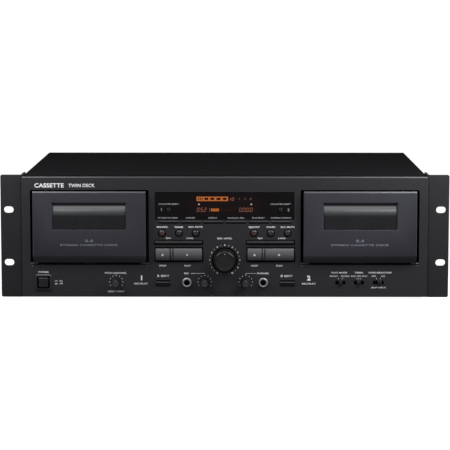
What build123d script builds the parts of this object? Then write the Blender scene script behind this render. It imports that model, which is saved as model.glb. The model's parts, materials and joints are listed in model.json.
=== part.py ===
from build123d import *
import math
import os

# Rack-mounting double cassette deck, 3U high. Millimetres.
# Frame: +X to the right seen from the front, +Y back into the rack, +Z up.
# Origin: centre of the four rack slots, on the rear (mounting) face of the rack ears.

# ---------------------------------------------------------------- driving dimensions
EAR_HALF_X = 241.3            # half of the 482.6 mm rack width
EAR_HALF_Z = 66.3             # half of the 3U panel height
EAR_T = 2.5                   # rack ear sheet
SLOT_DX = 465.1               # slot spacing across the rack
SLOT_DZ = 57.15               # slot spacing up the rack
SLOT_LEN = 10.5
SLOT_W = 7.0
LEG_IN_X = 217.3              # inner face of the bracket leg
LEG_T = 2.3
LEG_BACK_Y = 29.5
BEND_R = 3.1

FP_HALF_X = 218.0             # fascia
FP_HALF_Z = 65.0
FP_Y = -11.0                  # fascia front face
FP_T = 3.0                    # fascia front wall
FP_BACK = FP_Y + FP_T
RIM_T = 2.2
RIM_BACK_SIDE = -2.8
RIM_BACK_TOP = -0.6

COVER_HALF_X = 217.0
COVER_TOP = 65.8
COVER_BOT = -63.4
COVER_T = 1.2
BODY_FRONT = -0.5
BODY_BACK = 290.0

PAN_HALF_X = 215.6
PAN_BOT = -65.0
PAN_T = 1.2

FOOT_BOTTOM = -71.7
FOOT_R = 11.0
FOOT_X = 178.0
FOOT_Y = (50.0, 255.0)

DECK_X = 145.2                # centre of each cassette well, left one negative
OPEN_HALF_X = 63.6            # door opening in the fascia
OPEN_TOP = 50.9
OPEN_BOT = -30.1
RETURN_T = 2.0
RETURN_BACK = -5.0

DOOR_HALF_X = 60.6
DOOR_Y = -16.0
DOOR_TOP = 49.5
DOOR_BACK = -8.5
HINGE_Y = -9.5
HINGE_Z = -28.9
HINGE_R = 1.1

WIN_HALF_X = 40.4             # recess round the door window
WIN_BOT = 8.1
WIN_TOP = 37.9
PANE_HALF_X = 38.5
PANE_BEND_Z = 23.6
PANE_R = 10.0

CASS_HALF_X = 50.2            # the cassette: 100.4 x 63.8 x 12.0
CASS_Z0 = -20.0
CASS_Z1 = 43.8
CASS_Y0 = -5.0
CASS_Y1 = 7.0
SPINDLE_DX = 21.25
SPINDLE_Z = 15.0
CAPSTAN_DX = 34.0
CAPSTAN_Z = -13.5
CAPSTAN_R = 1.25
PINCH_R = 5.5
HEAD_TRAVEL = 6.0

FIT = 0.25                    # side clearance of a key in its aperture
FLANGE_Y0, FLANGE_Y1 = -7.6, -6.3
STEM_END = -0.2               # where key stems stop, in front of their switches
BOARD_Y = 3.0                 # front face of the control boards

PAIR_DX = 98.7                # right deck's key group from the left deck's


# ---------------------------------------------------------------- helpers
def bx(x0, x1, y0, y1, z0, z1):
    return Pos((x0 + x1) / 2, (y0 + y1) / 2, (z0 + z1) / 2) * Box(
        abs(x1 - x0), abs(y1 - y0), abs(z1 - z0)
    )


def ycyl(x, z, r, y0, y1):
    return Pos(x, (y0 + y1) / 2, z) * Rot(90, 0, 0) * Cylinder(r, abs(y1 - y0))


def xcyl(y, z, r, x0, x1):
    return Pos((x0 + x1) / 2, y, z) * Rot(0, 90, 0) * Cylinder(r, abs(x1 - x0))


def zcyl(x, y, r, z0, z1):
    return Pos(x, y, (z0 + z1) / 2) * Cylinder(r, abs(z1 - z0))


def ycone(x, z, r_front, r_back, y_front, y_back):
    # Rot(90) turns +Z to -Y, so the cone's top radius is the front one
    return (
        Pos(x, (y_front + y_back) / 2, z)
        * Rot(90, 0, 0)
        * Cone(r_back, r_front, abs(y_back - y_front))
    )


def rprism(x0, x1, z0, z1, r, y0, y1):
    """Rounded rectangle seen from the front, running from y0 back to y1."""
    face = RectangleRounded(x1 - x0, z1 - z0, r)
    plane = Plane(
        origin=((x0 + x1) / 2, y1, (z0 + z1) / 2), x_dir=(1, 0, 0), z_dir=(0, -1, 0)
    )
    return extrude(plane * face, amount=y1 - y0)


def xprism(points, x0, x1):
    """Polygon of (y, z) points, running along X."""
    return extrude(
        Plane(origin=(x0, 0, 0), x_dir=(0, 1, 0), z_dir=(1, 0, 0))
        * Polygon(*points, align=None),
        amount=x1 - x0,
    )


def union(first, others):
    others = list(others)
    return first.fuse(*others) if others else first


def cut(body, others):
    others = list(others)
    return body.cut(*others) if others else body


def save(name, shapes):
    if not isinstance(shapes, (list, tuple)):
        shapes = [shapes]
    solids = []
    for s in shapes:
        solids += list(s.solids())
    export_step(Compound(children=solids) if len(solids) > 1 else solids[0], f"parts/{name}.step")


os.makedirs("parts", exist_ok=True)

# ---------------------------------------------------------------- control layout (x, z on the fascia)
# six thin function keys under the display
FUNCTION_KEYS = {
    "return_to_zero_key": (-70.6, -49.5),
    "dimmer_key": (-46.9, -25.4),
    "repeat_key": (-22.8, -1.3),
    "parallel_record_key": (1.2, 22.6),
    "dub_start_key": (26.0, 47.5),
    "intro_check_key": (50.5, 71.8),
}
FUNCTION_Z = (14.3, 17.8)

ROUND_X = {"record": -67.3, "pause": -49.15, "record_mute": -31.0}
ROUND_Z = 4.3
ROUND_R = 3.05
ROUND_HOLE_R = 4.3            # an open ring shows round each round key

REW_X = (-74.8, -49.5)
FF_X = (-49.1, -24.3)
REW_Z = (-8.1, -3.75)
REW_WELL_X = (-75.7, -23.2)   # one opening for the rewind and fast forward keys
REW_WELL_Z = (-8.5, -3.0)

STOP_X = (-74.0, -59.05)
PLAY_X = (-57.8, -24.5)
GROOVE_X = (-56.4, -54.8)
PLAY_Z = (-25.1, -12.4)
KEY_WELL_X = (-75.35, -22.9)
KEY_WELL_Z = (-27.2, -10.9)

REC_KNOB = (0.1, -24.8)
REC_KNOB_R0, REC_KNOB_R1 = 12.5, 11.4
REC_KNOB_FRONT = -26.0

SMALL_KNOBS = {
    "pitch_knob": (-116.7, -48.7),
    "mic_level_knob": (-21.5, -48.7),
    "phones_level_knob": (22.7, -48.7),
}
SMALL_KNOB_FRONT = -22.0

JACKS = ((-40.65, -49.1), (41.5, -49.1))
JACK_BORE_R = 3.2
JACK_FRONT = -12.6
JACK_DEPTH = 24.0

POWER = (-195.1, -49.1)
EJECT_X = {"left": (-74.5, -58.8), "right": (59.5, 75.3)}
EJECT_Z = (-53.9, -46.8)
EJECT_CAP_TOP = -48.4         # a finger gap stays open above each eject key

SLIDES = {
    "play_mode_switch": (124.5, 11.0),
    "timer_switch": (144.4, 11.0),
    "noise_reduction_switch": (165.4, 11.9),
}
SLIDE_Z = -49.2
SLIDE_H = 4.15

RESET_X = (-60.1, 60.2)
RESET_Z = 29.6

DISP_X = (-75.0, 74.8)
DISP_Z = (18.55, 48.7)

# ---------------------------------------------------------------- fascia
cx_open = 145.1
panel = rprism(-FP_HALF_X, FP_HALF_X, -FP_HALF_Z, FP_HALF_Z, 1.8, FP_Y, RIM_BACK_SIDE)
front_edges = panel.edges().group_by(Axis.Y)[0]
panel = chamfer(front_edges, 1.1)
hollow = rprism(
    -FP_HALF_X + RIM_T, FP_HALF_X - RIM_T, -FP_HALF_Z + RIM_T, FP_HALF_Z - RIM_T,
    1.0, FP_BACK, RIM_BACK_SIDE + 1,
)
panel = panel - hollow
adds = [
    bx(-215.0, 215.0, RIM_BACK_SIDE - 1, RIM_BACK_TOP, FP_HALF_Z - RIM_T, FP_HALF_Z - 0.02),
    bx(-215.0, 215.0, RIM_BACK_SIDE - 1, RIM_BACK_TOP, -FP_HALF_Z + 0.02, -FP_HALF_Z + RIM_T),
]
for s in (-1, 1):
    adds.append(
        bx(s * cx_open - OPEN_HALF_X - RETURN_T, s * cx_open + OPEN_HALF_X + RETURN_T,
           FP_BACK - 0.5, RETURN_BACK, OPEN_BOT - RETURN_T, OPEN_TOP + RETURN_T)
    )
# raised frame round the power key
bezel = rprism(POWER[0] - 9.1, POWER[0] + 9.1, POWER[1] - 8.6, POWER[1] + 8.6, 2.4, FP_Y - 1.1, FP_Y + 0.5)
bezel = chamfer(bezel.edges().group_by(Axis.Y)[0], 0.9)
adds.append(bezel)
panel = union(panel, adds)

cuts = []
for s in (-1, 1):
    cuts.append(
        rprism(s * cx_open - OPEN_HALF_X, s * cx_open + OPEN_HALF_X, OPEN_BOT, OPEN_TOP, 1.6, FP_Y - 3, 5)
    )
    cuts.append(xcyl(HINGE_Y, HINGE_Z, HINGE_R + 0.05, s * cx_open - OPEN_HALF_X - RETURN_T - 0.5, s * cx_open + OPEN_HALF_X + RETURN_T + 0.5))
cuts.append(rprism(DISP_X[0], DISP_X[1], DISP_Z[0], DISP_Z[1], 0.8, FP_Y - 3, 5))
for x0, x1 in FUNCTION_KEYS.values():
    cuts.append(bx(x0, x1, FP_Y - 3, 5, *FUNCTION_Z))
for k in (0, PAIR_DX):
    for x in ROUND_X.values():
        cuts.append(ycyl(x + k, ROUND_Z, ROUND_HOLE_R, FP_Y - 3, 5))
    cuts.append(rprism(REW_WELL_X[0] + k, REW_WELL_X[1] + k, *REW_WELL_Z, 0.5, FP_Y - 3, 5))
    cuts.append(rprism(KEY_WELL_X[0] + k, KEY_WELL_X[1] + k, *KEY_WELL_Z, 0.8, FP_Y - 3, 5))
cuts.append(ycyl(*REC_KNOB, 13.9, FP_Y - 3, FP_Y + 1.5))
cuts.append(ycyl(*REC_KNOB, 4.0, FP_Y - 3, 5))
for x, z in SMALL_KNOBS.values():
    cuts.append(ycyl(x, z, 2.6, FP_Y - 3, 5))
for x, z in JACKS:
    cuts.append(ycyl(x, z, 4.6, FP_Y - 3, 5))
cuts.append(rprism(POWER[0] - 6.95, POWER[0] + 6.95, POWER[1] - 6.5, POWER[1] + 6.5, 1.4, FP_Y - 3, 5))
for x0, x1 in EJECT_X.values():
    cuts.append(rprism(x0, x1, *EJECT_Z, 0.5, FP_Y - 3, 5))
for x, w in SLIDES.values():
    cuts.append(rprism(x - w / 2, x + w / 2, SLIDE_Z - SLIDE_H / 2, SLIDE_Z + SLIDE_H / 2, 0.5, FP_Y - 3, 5))
panel = cut(panel, cuts)
save("front_panel", panel)

# ---------------------------------------------------------------- rack brackets: ear, convex bend, leg along the body's side
SCREW_Z_BRACKET = (-52.0, -4.0, 44.0)
SCREW_Y_BRACKET = 17.0


def bracket(side):
    # profile in plan (x, y), for the right-hand side
    o = LEG_IN_X
    r = BEND_R
    plate = bx(o + r, EAR_HALF_X, -EAR_T, 0, -EAR_HALF_Z, EAR_HALF_Z)
    leg = bx(o, o + LEG_T, -EAR_T + r, LEG_BACK_Y, -EAR_HALF_Z, EAR_HALF_Z)
    bend = zcyl(o + r, -EAR_T + r, r, -EAR_HALF_Z, EAR_HALF_Z) & bx(
        o - 1, o + r, -EAR_T - 1, -EAR_T + r, -EAR_HALF_Z, EAR_HALF_Z
    )
    bend = bend - zcyl(o + r, -EAR_T + r, r - LEG_T, -EAR_HALF_Z - 1, EAR_HALF_Z + 1)
    part = plate.fuse(leg, bend)
    # rounded outer corners of the ear
    corner = [
        e
        for e in part.edges().filter_by(Axis.Y)
        if e.center().X > EAR_HALF_X - 0.1 and abs(abs(e.center().Z) - EAR_HALF_Z) < 0.1
    ]
    part = fillet(corner, 2.0)
    holes = []
    for sz in (-1, 1):
        holes.append(
            extrude(
                Plane(origin=(SLOT_DX / 2, 5, sz * SLOT_DZ / 2), x_dir=(1, 0, 0), z_dir=(0, -1, 0))
                * SlotOverall(SLOT_LEN, SLOT_W),
                amount=10,
            )
        )
    for z in SCREW_Z_BRACKET:
        holes.append(xcyl(SCREW_Y_BRACKET, z, 1.7, o - 3, o + LEG_T + 3))
    part = cut(part, holes)
    return part if side > 0 else part.mirror(Plane.YZ)


save("rack_brackets", [bracket(-1), bracket(1)])

# ---------------------------------------------------------------- casing
SIDE_SCREWS = ((150.0, -52.0), (262.0, -52.0))
REAR_SCREWS_TOP = (-200.0, 0.0, 200.0)
REAR_SCREWS_BOT = (-200.0, -20.0, 200.0)
REAR_SCREW_Z_TOP, REAR_SCREW_Z_BOT = 57.5, -57.0
PANEL_BACK = 289.6
PANEL_SHEET = 1.4

cover = bx(-COVER_HALF_X, COVER_HALF_X, BODY_FRONT, BODY_BACK, COVER_BOT, COVER_TOP)
top_edges = [
    e for e in cover.edges().filter_by(Axis.Y) if e.center().Z > COVER_TOP - 0.1
]
cover = fillet(top_edges, 1.6)
inside = bx(-COVER_HALF_X + COVER_T, COVER_HALF_X - COVER_T, BODY_FRONT - 1, BODY_BACK + 1, COVER_BOT - 1, COVER_TOP - COVER_T)
cover = cover - inside
cover = union(cover, [bx(-214.0, 214.0, 286.9, 288.1, 51.0, COVER_TOP - COVER_T + 0.01)])
holes = []
for s in (-1, 1):
    for z in SCREW_Z_BRACKET:
        holes.append(xcyl(SCREW_Y_BRACKET, z, 1.7, s * 210, s * 222))
    for y, z in SIDE_SCREWS:
        holes.append(xcyl(y, z, 1.7, s * 210, s * 222))
for x in REAR_SCREWS_TOP:
    holes.append(ycyl(x, REAR_SCREW_Z_TOP, 1.6, 280, 295))
cover = cut(cover, holes)
save("top_cover", cover)

pan = bx(-PAN_HALF_X, PAN_HALF_X, 0, 288.0, PAN_BOT, PAN_BOT + 20)
pan = pan - bx(-PAN_HALF_X + PAN_T, PAN_HALF_X - PAN_T, PAN_T, 286.8, PAN_BOT + PAN_T, PAN_BOT + 30)
# the front flange stays low, under the controls
pan = pan - bx(-PAN_HALF_X + PAN_T, PAN_HALF_X - PAN_T, -1, 2, PAN_BOT + 4, PAN_BOT + 30)
holes = []
for s in (-1, 1):
    holes.append(xcyl(SCREW_Y_BRACKET, SCREW_Z_BRACKET[0], 1.6, s * 210, s * 222))
    for y, z in SIDE_SCREWS:
        holes.append(xcyl(y, z, 1.6, s * 210, s * 222))
for x in REAR_SCREWS_BOT:
    holes.append(ycyl(x, REAR_SCREW_Z_BOT, 1.6, 280, 295))
for sx in (-1, 1):
    for y in FOOT_Y:
        holes.append(zcyl(sx * FOOT_X, y, 2.1, PAN_BOT - 3, PAN_BOT + 5))
pan = cut(pan, holes)
save("bottom_chassis", pan)

# ---------------------------------------------------------------- rear panel with its sockets
RCA_ROWS = (30.0, 14.0)
RCA_COLS = (110.0, 128.0, 158.0, 176.0)
INLET = (-168.0, -20.0)       # mains inlet, x and z
REMOTE = (40.0, 20.0)         # remote control connector
rear = bx(-215.4, 215.4, PANEL_BACK - PANEL_SHEET, PANEL_BACK, -63.6, 64.4)
holes = []
for x in REAR_SCREWS_TOP:
    holes.append(ycyl(x, REAR_SCREW_Z_TOP, 1.6, 280, 295))
for x in REAR_SCREWS_BOT:
    holes.append(ycyl(x, REAR_SCREW_Z_BOT, 1.6, 280, 295))
for x in RCA_COLS:
    for z in RCA_ROWS:
        holes.append(ycyl(x, z, 4.9, 280, 295))
holes.append(rprism(INLET[0] - 13.9, INLET[0] + 13.9, INLET[1] - 10.2, INLET[1] + 10.2, 2.5, 280, 295))
holes.append(rprism(REMOTE[0] - 12.5, REMOTE[0] + 12.5, REMOTE[1] - 5.2, REMOTE[1] + 5.2, 2.0, 280, 295))
rear = cut(rear, holes)
save("rear_panel", rear)


def front_jack(x, z):
    body = union(
        ycyl(x, z, 4.5, JACK_FRONT, -6.0),
        [
            ycyl(x, z, 4.9, JACK_FRONT + 0.3, FP_Y - 0.02),
            bx(x - 6.5, x + 6.5, -7.9, 13.5, z - 6.5, z + 6.5),
        ],
    )
    return body - ycyl(x, z, JACK_BORE_R, JACK_FRONT - 1, JACK_FRONT + JACK_DEPTH)


def rca(x, z):
    body = union(
        ycyl(x, z, 4.15, PANEL_BACK, 299.5),
        [ycyl(x, z, 4.8, PANEL_BACK - 3, PANEL_BACK + 1.6)],
    )
    return body - ycyl(x, z, 1.65, 292.0, 305.0)


sockets = [front_jack(x, z) for x, z in JACKS]
blocks = []
for pair in (RCA_COLS[:2], RCA_COLS[2:]):
    blk = bx(pair[0] - 8, pair[1] + 8, 276.0, PANEL_BACK - PANEL_SHEET - 0.02, RCA_ROWS[1] - 8, RCA_ROWS[0] + 8)
    blocks.append(union(blk, [rca(x, z) for x in pair for z in RCA_ROWS]))
sockets += blocks
# three-pin mains inlet
inlet = union(
    rprism(INLET[0] - 13.6, INLET[0] + 13.6, INLET[1] - 9.9, INLET[1] + 9.9, 2.4, 266.0, PANEL_BACK + 0.02),
    [rprism(INLET[0] - 15.5, INLET[0] + 15.5, INLET[1] - 12.0, INLET[1] + 12.0, 3.0, PANEL_BACK + 0.02, PANEL_BACK + 2.2)],
)
inlet = inlet - rprism(INLET[0] - 12.0, INLET[0] + 12.0, INLET[1] - 8.2, INLET[1] + 8.2, 2.0, 274.0, 300.0)
inlet = union(inlet, [bx(INLET[0] + dx - 1.0, INLET[0] + dx + 1.0, 273.0, 288.0, INLET[1] + dz - 2.0, INLET[1] + dz + 2.0) for dx, dz in ((-7, 0.0), (0, -2.5), (7, 0.0))])
sockets.append(inlet)
remote = union(
    rprism(REMOTE[0] - 12.2, REMOTE[0] + 12.2, REMOTE[1] - 4.9, REMOTE[1] + 4.9, 1.9, 278.0, 294.0),
    [bx(REMOTE[0] - 19.5, REMOTE[0] + 19.5, PANEL_BACK + 0.02, PANEL_BACK + 1.2, REMOTE[1] - 6.2, REMOTE[1] + 6.2)],
)
remote = remote - rprism(REMOTE[0] - 11.4, REMOTE[0] + 11.4, REMOTE[1] - 4.1, REMOTE[1] + 4.1, 1.5, 289.0, 300.0)
sockets.append(remote)
save("sockets", sockets)

# ---------------------------------------------------------------- feet
def foot(x, y):
    body = Pos(x, y, (FOOT_BOTTOM + PAN_BOT) / 2) * Cone(FOOT_R - 1.2, FOOT_R, PAN_BOT - FOOT_BOTTOM)
    body = fillet(body.edges().group_by(Axis.Z)[0], 0.8)
    stud = zcyl(x, y, 2.0, PAN_BOT - 2, PAN_BOT + 4.0)
    return body.fuse(stud)


save("feet", [foot(sx * FOOT_X, y) for sx in (-1, 1) for y in FOOT_Y])

# ---------------------------------------------------------------- screws: pan heads with a cross recess
def screw_z(length=6.0):
    head = Cylinder(2.9, 1.9, align=(Align.CENTER, Align.CENTER, Align.MIN))
    head = fillet(head.edges().group_by(Axis.Z)[-1], 0.9)
    shank = Pos(0, 0, -length) * Cylinder(1.45, length, align=(Align.CENTER, Align.CENTER, Align.MIN))
    body = head.fuse(shank)
    cross = [Pos(0, 0, 1.6) * Box(2.8, 0.6, 1.6), Pos(0, 0, 1.6) * Box(0.6, 2.8, 1.6)]
    return cut(body, cross)


base_screw = screw_z()
screws = []
for s in (-1, 1):
    turn = Rot(0, 90 * s, 0)
    for z in SCREW_Z_BRACKET:
        screws.append(Pos(s * (LEG_IN_X + LEG_T), SCREW_Y_BRACKET, z) * turn * base_screw)
    for y, z in SIDE_SCREWS:
        screws.append(Pos(s * COVER_HALF_X, y, z) * turn * base_screw)
for x in REAR_SCREWS_TOP:
    screws.append(Pos(x, PANEL_BACK, REAR_SCREW_Z_TOP) * Rot(-90, 0, 0) * base_screw)
for x in REAR_SCREWS_BOT:
    screws.append(Pos(x, PANEL_BACK, REAR_SCREW_Z_BOT) * Rot(-90, 0, 0) * base_screw)
save("screws", screws)

# ---------------------------------------------------------------- display window
glass = rprism(DISP_X[0] + 0.1, DISP_X[1] - 0.1, DISP_Z[0] + 0.1, DISP_Z[1] - 0.1, 0.7, FP_Y + 0.4, FP_BACK)
lip = bx(DISP_X[0] - 2.5, DISP_X[1] + 2.5, FP_BACK + 0.02, FP_BACK + 0.7, DISP_Z[0] + 0.1, DISP_Z[1] + 2.2)
glass = union(glass, [lip, bx(DISP_X[0] + 3, DISP_X[1] - 3, FP_BACK - 0.5, FP_BACK + 0.3, DISP_Z[0] + 1, DISP_Z[1] - 1)])
glass = cut(glass, [ycyl(x, RESET_Z, 2.35, FP_Y - 3, 5) for x in RESET_X] + [ycyl(x, RESET_Z, 4.0, FP_BACK, 5) for x in RESET_X])
save("display_window", glass)


# ---------------------------------------------------------------- keys
def bar_key(x0, x1, z0, z1, y_top, y_ridge, z_ridge, y_low, fit, flange_x, flange_z):
    """Key with a ridge along it: the upper facet leans up, the lower one down."""
    xa, xb = x0 + fit, x1 - fit
    za, zb = z0 + FIT, z1 - FIT
    cap = xprism([(FLANGE_Y0 + 0.1, zb), (y_top, zb), (y_ridge, z_ridge), (y_low, za), (FLANGE_Y0 + 0.1, za)], xa, xb)
    flange = bx(flange_x[0], flange_x[1], FLANGE_Y0, FLANGE_Y1, flange_z[0], flange_z[1])
    stem = ycyl((x0 + x1) / 2, (z0 + z1) / 2, 1.2, FLANGE_Y1 - 0.1, STEM_END)
    return cap.fuse(flange, stem)


for name, (x0, x1) in FUNCTION_KEYS.items():
    save(name, bar_key(x0, x1, *FUNCTION_Z, FP_Y - 0.1, FP_Y - 0.8, 16.6, FP_Y + 0.2, FIT,
                       (x0 - 0.6, x1 + 0.6), (FUNCTION_Z[0] - 0.6, FUNCTION_Z[1] + 0.6)))


def round_key(x):
    cap = ycyl(x, ROUND_Z, ROUND_R, FP_Y - 1.0, FLANGE_Y0 + 0.1)
    cap = fillet(cap.edges().group_by(Axis.Y)[0], 0.9)
    flange = ycyl(x, ROUND_Z, ROUND_HOLE_R + 0.7, FLANGE_Y0, FLANGE_Y1)
    stem = ycyl(x, ROUND_Z, 1.2, FLANGE_Y1 - 0.1, STEM_END)
    return cap.fuse(flange, stem)


def play_cap(x0, x1):
    # the face bulges forward between the top and the bottom edge
    z0, z1 = PLAY_Z
    line = [
        Line((FLANGE_Y0 + 0.1, z1), (-10.9, z1)),
        ThreePointArc((-10.9, z1), (-13.0, z1 - 4.6), (-12.6, z0 + 0.5)),
        Line((-12.6, z0 + 0.5), (-12.1, z0)),
        Line((-12.1, z0), (FLANGE_Y0 + 0.1, z0)),
        Line((FLANGE_Y0 + 0.1, z0), (FLANGE_Y0 + 0.1, z1)),
    ]
    face = make_face(Curve() + line)
    return extrude(Plane(origin=(x0, 0, 0), x_dir=(0, 1, 0), z_dir=(1, 0, 0)) * face, amount=x1 - x0)


def stop_key(k):
    cap = play_cap(STOP_X[0] + k, STOP_X[1] + k)
    flange = bx(KEY_WELL_X[0] + k - 0.8, STOP_X[1] + k + 0.5, FLANGE_Y0, FLANGE_Y1, KEY_WELL_Z[0] - 0.8, KEY_WELL_Z[1] + 0.8)
    stem = ycyl((STOP_X[0] + STOP_X[1]) / 2 + k, -18.7, 1.2, FLANGE_Y1 - 0.1, STEM_END)
    return cap.fuse(flange, stem)


def play_key(k):
    cap = play_cap(PLAY_X[0] + k, PLAY_X[1] + k)
    flange = bx(PLAY_X[0] + k - 0.5, KEY_WELL_X[1] + k + 0.8, FLANGE_Y0, FLANGE_Y1, KEY_WELL_Z[0] - 0.8, KEY_WELL_Z[1] + 0.8)
    stem = ycyl((PLAY_X[0] + PLAY_X[1]) / 2 + k, -18.7, 1.2, FLANGE_Y1 - 0.1, STEM_END)
    key = cap.fuse(flange, stem)
    groove = bx(GROOVE_X[0] + k, GROOVE_X[1] + k, -20, -10.6, PLAY_Z[0] - 1, PLAY_Z[1] + 1)
    return key - groove


for side, k in (("left", 0.0), ("right", PAIR_DX)):
    for name, x in ROUND_X.items():
        save(f"{name}_key_{side}", round_key(x + k))
    zz = (REW_WELL_Z[0] - 0.6, REW_WELL_Z[1] + 0.6)
    save(
        f"rewind_key_{side}",
        bar_key(REW_X[0] + k, REW_X[1] + k, *REW_Z, FP_Y - 0.5, FP_Y - 1.4, -6.1, FP_Y - 0.1, 0.0,
                (REW_WELL_X[0] + k - 0.6, REW_X[1] + k), zz),
    )
    save(
        f"fast_forward_key_{side}",
        bar_key(FF_X[0] + k, FF_X[1] + k, *REW_Z, FP_Y - 0.5, FP_Y - 1.4, -6.1, FP_Y - 0.1, 0.0,
                (FF_X[0] + k, REW_WELL_X[1] + k + 0.6), zz),
    )
    save(f"stop_key_{side}", stop_key(k))
    save(f"play_key_{side}", play_key(k))
    x0, x1 = EJECT_X[side]
    # the cap's front leans back below its upper edge
    cap = xprism(
        [(FLANGE_Y0 + 0.1, EJECT_CAP_TOP), (FP_Y - 0.5, EJECT_CAP_TOP), (FP_Y - 1.3, EJECT_CAP_TOP - 0.8),
         (FP_Y + 0.1, EJECT_Z[0] + FIT), (FLANGE_Y0 + 0.1, EJECT_Z[0] + FIT)],
        x0 + FIT, x1 - FIT,
    )
    save(
        f"eject_key_{side}",
        cap.fuse(
            bx(x0 - 0.6, x1 + 0.6, FLANGE_Y0, FLANGE_Y1, EJECT_Z[0] - 0.6, EJECT_Z[1] + 0.6),
            ycyl((x0 + x1) / 2, sum(EJECT_Z) / 2, 1.2, FLANGE_Y1 - 0.1, STEM_END),
        ),
    )

# power key, square, standing inside its frame
pw = rprism(POWER[0] - 5.1, POWER[0] + 5.1, POWER[1] - 5.15, POWER[1] + 4.95, 0.8, FP_Y - 2.0, FLANGE_Y0 + 0.1)
pw = chamfer(pw.edges().group_by(Axis.Y)[0], 0.5)
power = union(pw, [
    bx(POWER[0] - 7.4, POWER[0] + 7.4, FLANGE_Y0, FLANGE_Y1, POWER[1] - 7.4, POWER[1] + 7.4),
    bx(POWER[0] - 2, POWER[0] + 2, FLANGE_Y1 - 0.1, -1.0, POWER[1] - 2, POWER[1] + 2),
])
save("power_key", power)

# counter reset keys, through the display window
for side, x in zip(("left", "right"), RESET_X):
    cap = ycyl(x, RESET_Z, 2.15, FP_Y - 0.5, -7.0)
    cap = fillet(cap.edges().group_by(Axis.Y)[0], 0.5)
    save(f"counter_reset_key_{side}", cap.fuse(ycyl(x, RESET_Z, 3.2, -7.2, -6.2), ycyl(x, RESET_Z, 1.0, -6.3, STEM_END)))

# ---------------------------------------------------------------- knobs, each with its spindle
skirt = ycone(*REC_KNOB, REC_KNOB_R1, REC_KNOB_R0, REC_KNOB_FRONT, FP_Y + 1.0)
skirt = chamfer(skirt.edges().group_by(Axis.Y)[0], 1.2)
knob = skirt.fuse(ycyl(*REC_KNOB, 3.0, FP_Y + 0.9, -1.0))
knob = knob - bx(REC_KNOB[0] - 0.6, REC_KNOB[0] + 0.6, REC_KNOB_FRONT - 1, REC_KNOB_FRONT + 0.5, REC_KNOB[1] + 4.5, REC_KNOB[1] + 12)
save("record_level_knob", knob)
for name, (x, z) in SMALL_KNOBS.items():
    body = ycone(x, z, 4.15, 4.5, SMALL_KNOB_FRONT, FP_Y - 0.3)
    body = chamfer(body.edges().group_by(Axis.Y)[0], 0.4)
    body = body.fuse(ycyl(x, z, 2.0, FP_Y - 0.4, -1.0))
    body = body - bx(x - 0.35, x + 0.35, SMALL_KNOB_FRONT - 1, SMALL_KNOB_FRONT + 0.4, z + 0.8, z + 5)
    save(name, body)

# ---------------------------------------------------------------- slide switch handles
SLIDE_REST = {"play_mode_switch": 0.0, "timer_switch": 0.0, "noise_reduction_switch": 1.5}
# how far the shutter behind the slot runs past it, so that the slot stays closed over the travel
SLIDE_MARGIN = {"play_mode_switch": 2.1, "timer_switch": 2.1, "noise_reduction_switch": 1.65}
for name, (x, w) in SLIDES.items():
    xs = x + SLIDE_REST[name]
    h = SLIDE_H / 2 - 0.25
    handle = bx(xs - 1.9, xs + 1.9, FP_Y - 1.6, FLANGE_Y0 + 0.1, SLIDE_Z - h, SLIDE_Z + h)
    handle = chamfer(handle.edges().group_by(Axis.Y)[0], 0.4)
    shutter = bx(xs - w / 2 - SLIDE_MARGIN[name], xs + w / 2 + SLIDE_MARGIN[name], FLANGE_Y0, FLANGE_Y1, SLIDE_Z - 3.0, SLIDE_Z + 3.0)
    save(f"{name}", handle.fuse(shutter, bx(xs - 1.0, xs + 1.0, FLANGE_Y1 - 0.1, -2.5, SLIDE_Z - 1, SLIDE_Z + 1)))


# ---------------------------------------------------------------- cassette doors
def door(cx):
    shell = xprism(
        [(DOOR_BACK, DOOR_TOP), (DOOR_Y + 1.3, DOOR_TOP), (DOOR_Y, DOOR_TOP - 1.3), (DOOR_Y, -19.6), (-10.8, -27.6), (DOOR_BACK, -27.6)],
        cx - DOOR_HALF_X, cx + DOOR_HALF_X,
    )
    edges = [e for e in shell.edges().filter_by(Axis.Z) if e.center().Y < DOOR_Y + 0.1]
    shell = chamfer(edges, 0.8)
    inner = xprism(
        [(-7.0, 47.1), (-13.6, 47.1), (-13.6, -18.9), (-9.6, -25.2), (-7.0, -25.2)],
        cx - DOOR_HALF_X + 2.4, cx + DOOR_HALF_X - 2.4,
    )
    shell = shell - inner
    frame = bx(cx - 41.2, cx + 41.2, -13.7, -5.7, 6.4, 40.2)
    shell = shell.fuse(frame)
    rebate = bx(cx - 38.7, cx + 38.7, -14.4, -6.8, 8.7, 36.6)
    view = bx(cx - 37.2, cx + 37.2, -8, -4, 9.6, 32.4)
    lo = Plane(origin=(cx, -14.3, 0), x_dir=(1, 0, 0), z_dir=(0, -1, 0)) * Pos(0, (8.7 + 36.6) / 2) * Rectangle(2 * 38.7, 36.6 - 8.7)
    hi = Plane(origin=(cx, DOOR_Y, 0), x_dir=(1, 0, 0), z_dir=(0, -1, 0)) * Pos(0, (WIN_BOT + WIN_TOP) / 2) * Rectangle(2 * WIN_HALF_X, WIN_TOP - WIN_BOT)
    bevel = loft([lo.face(), hi.face()], ruled=True)
    cuts = [rebate, view, bevel]
    shell = cut(shell, cuts)
    pins = []
    for s in (-1, 1):
        a = cx + s * 55.0
        b = (145.1 if cx > 0 else -145.1) + s * (OPEN_HALF_X + RETURN_T)
        pins.append(xcyl(HINGE_Y, HINGE_Z, HINGE_R, min(a, b), max(a, b)))
        c = cx + s * 59.4
        pins.append(bx(min(a, c), max(a, c), HINGE_Y - 1.0, HINGE_Y + 1.0, HINGE_Z, -26.9))
    return shell.fuse(*pins)


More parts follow.
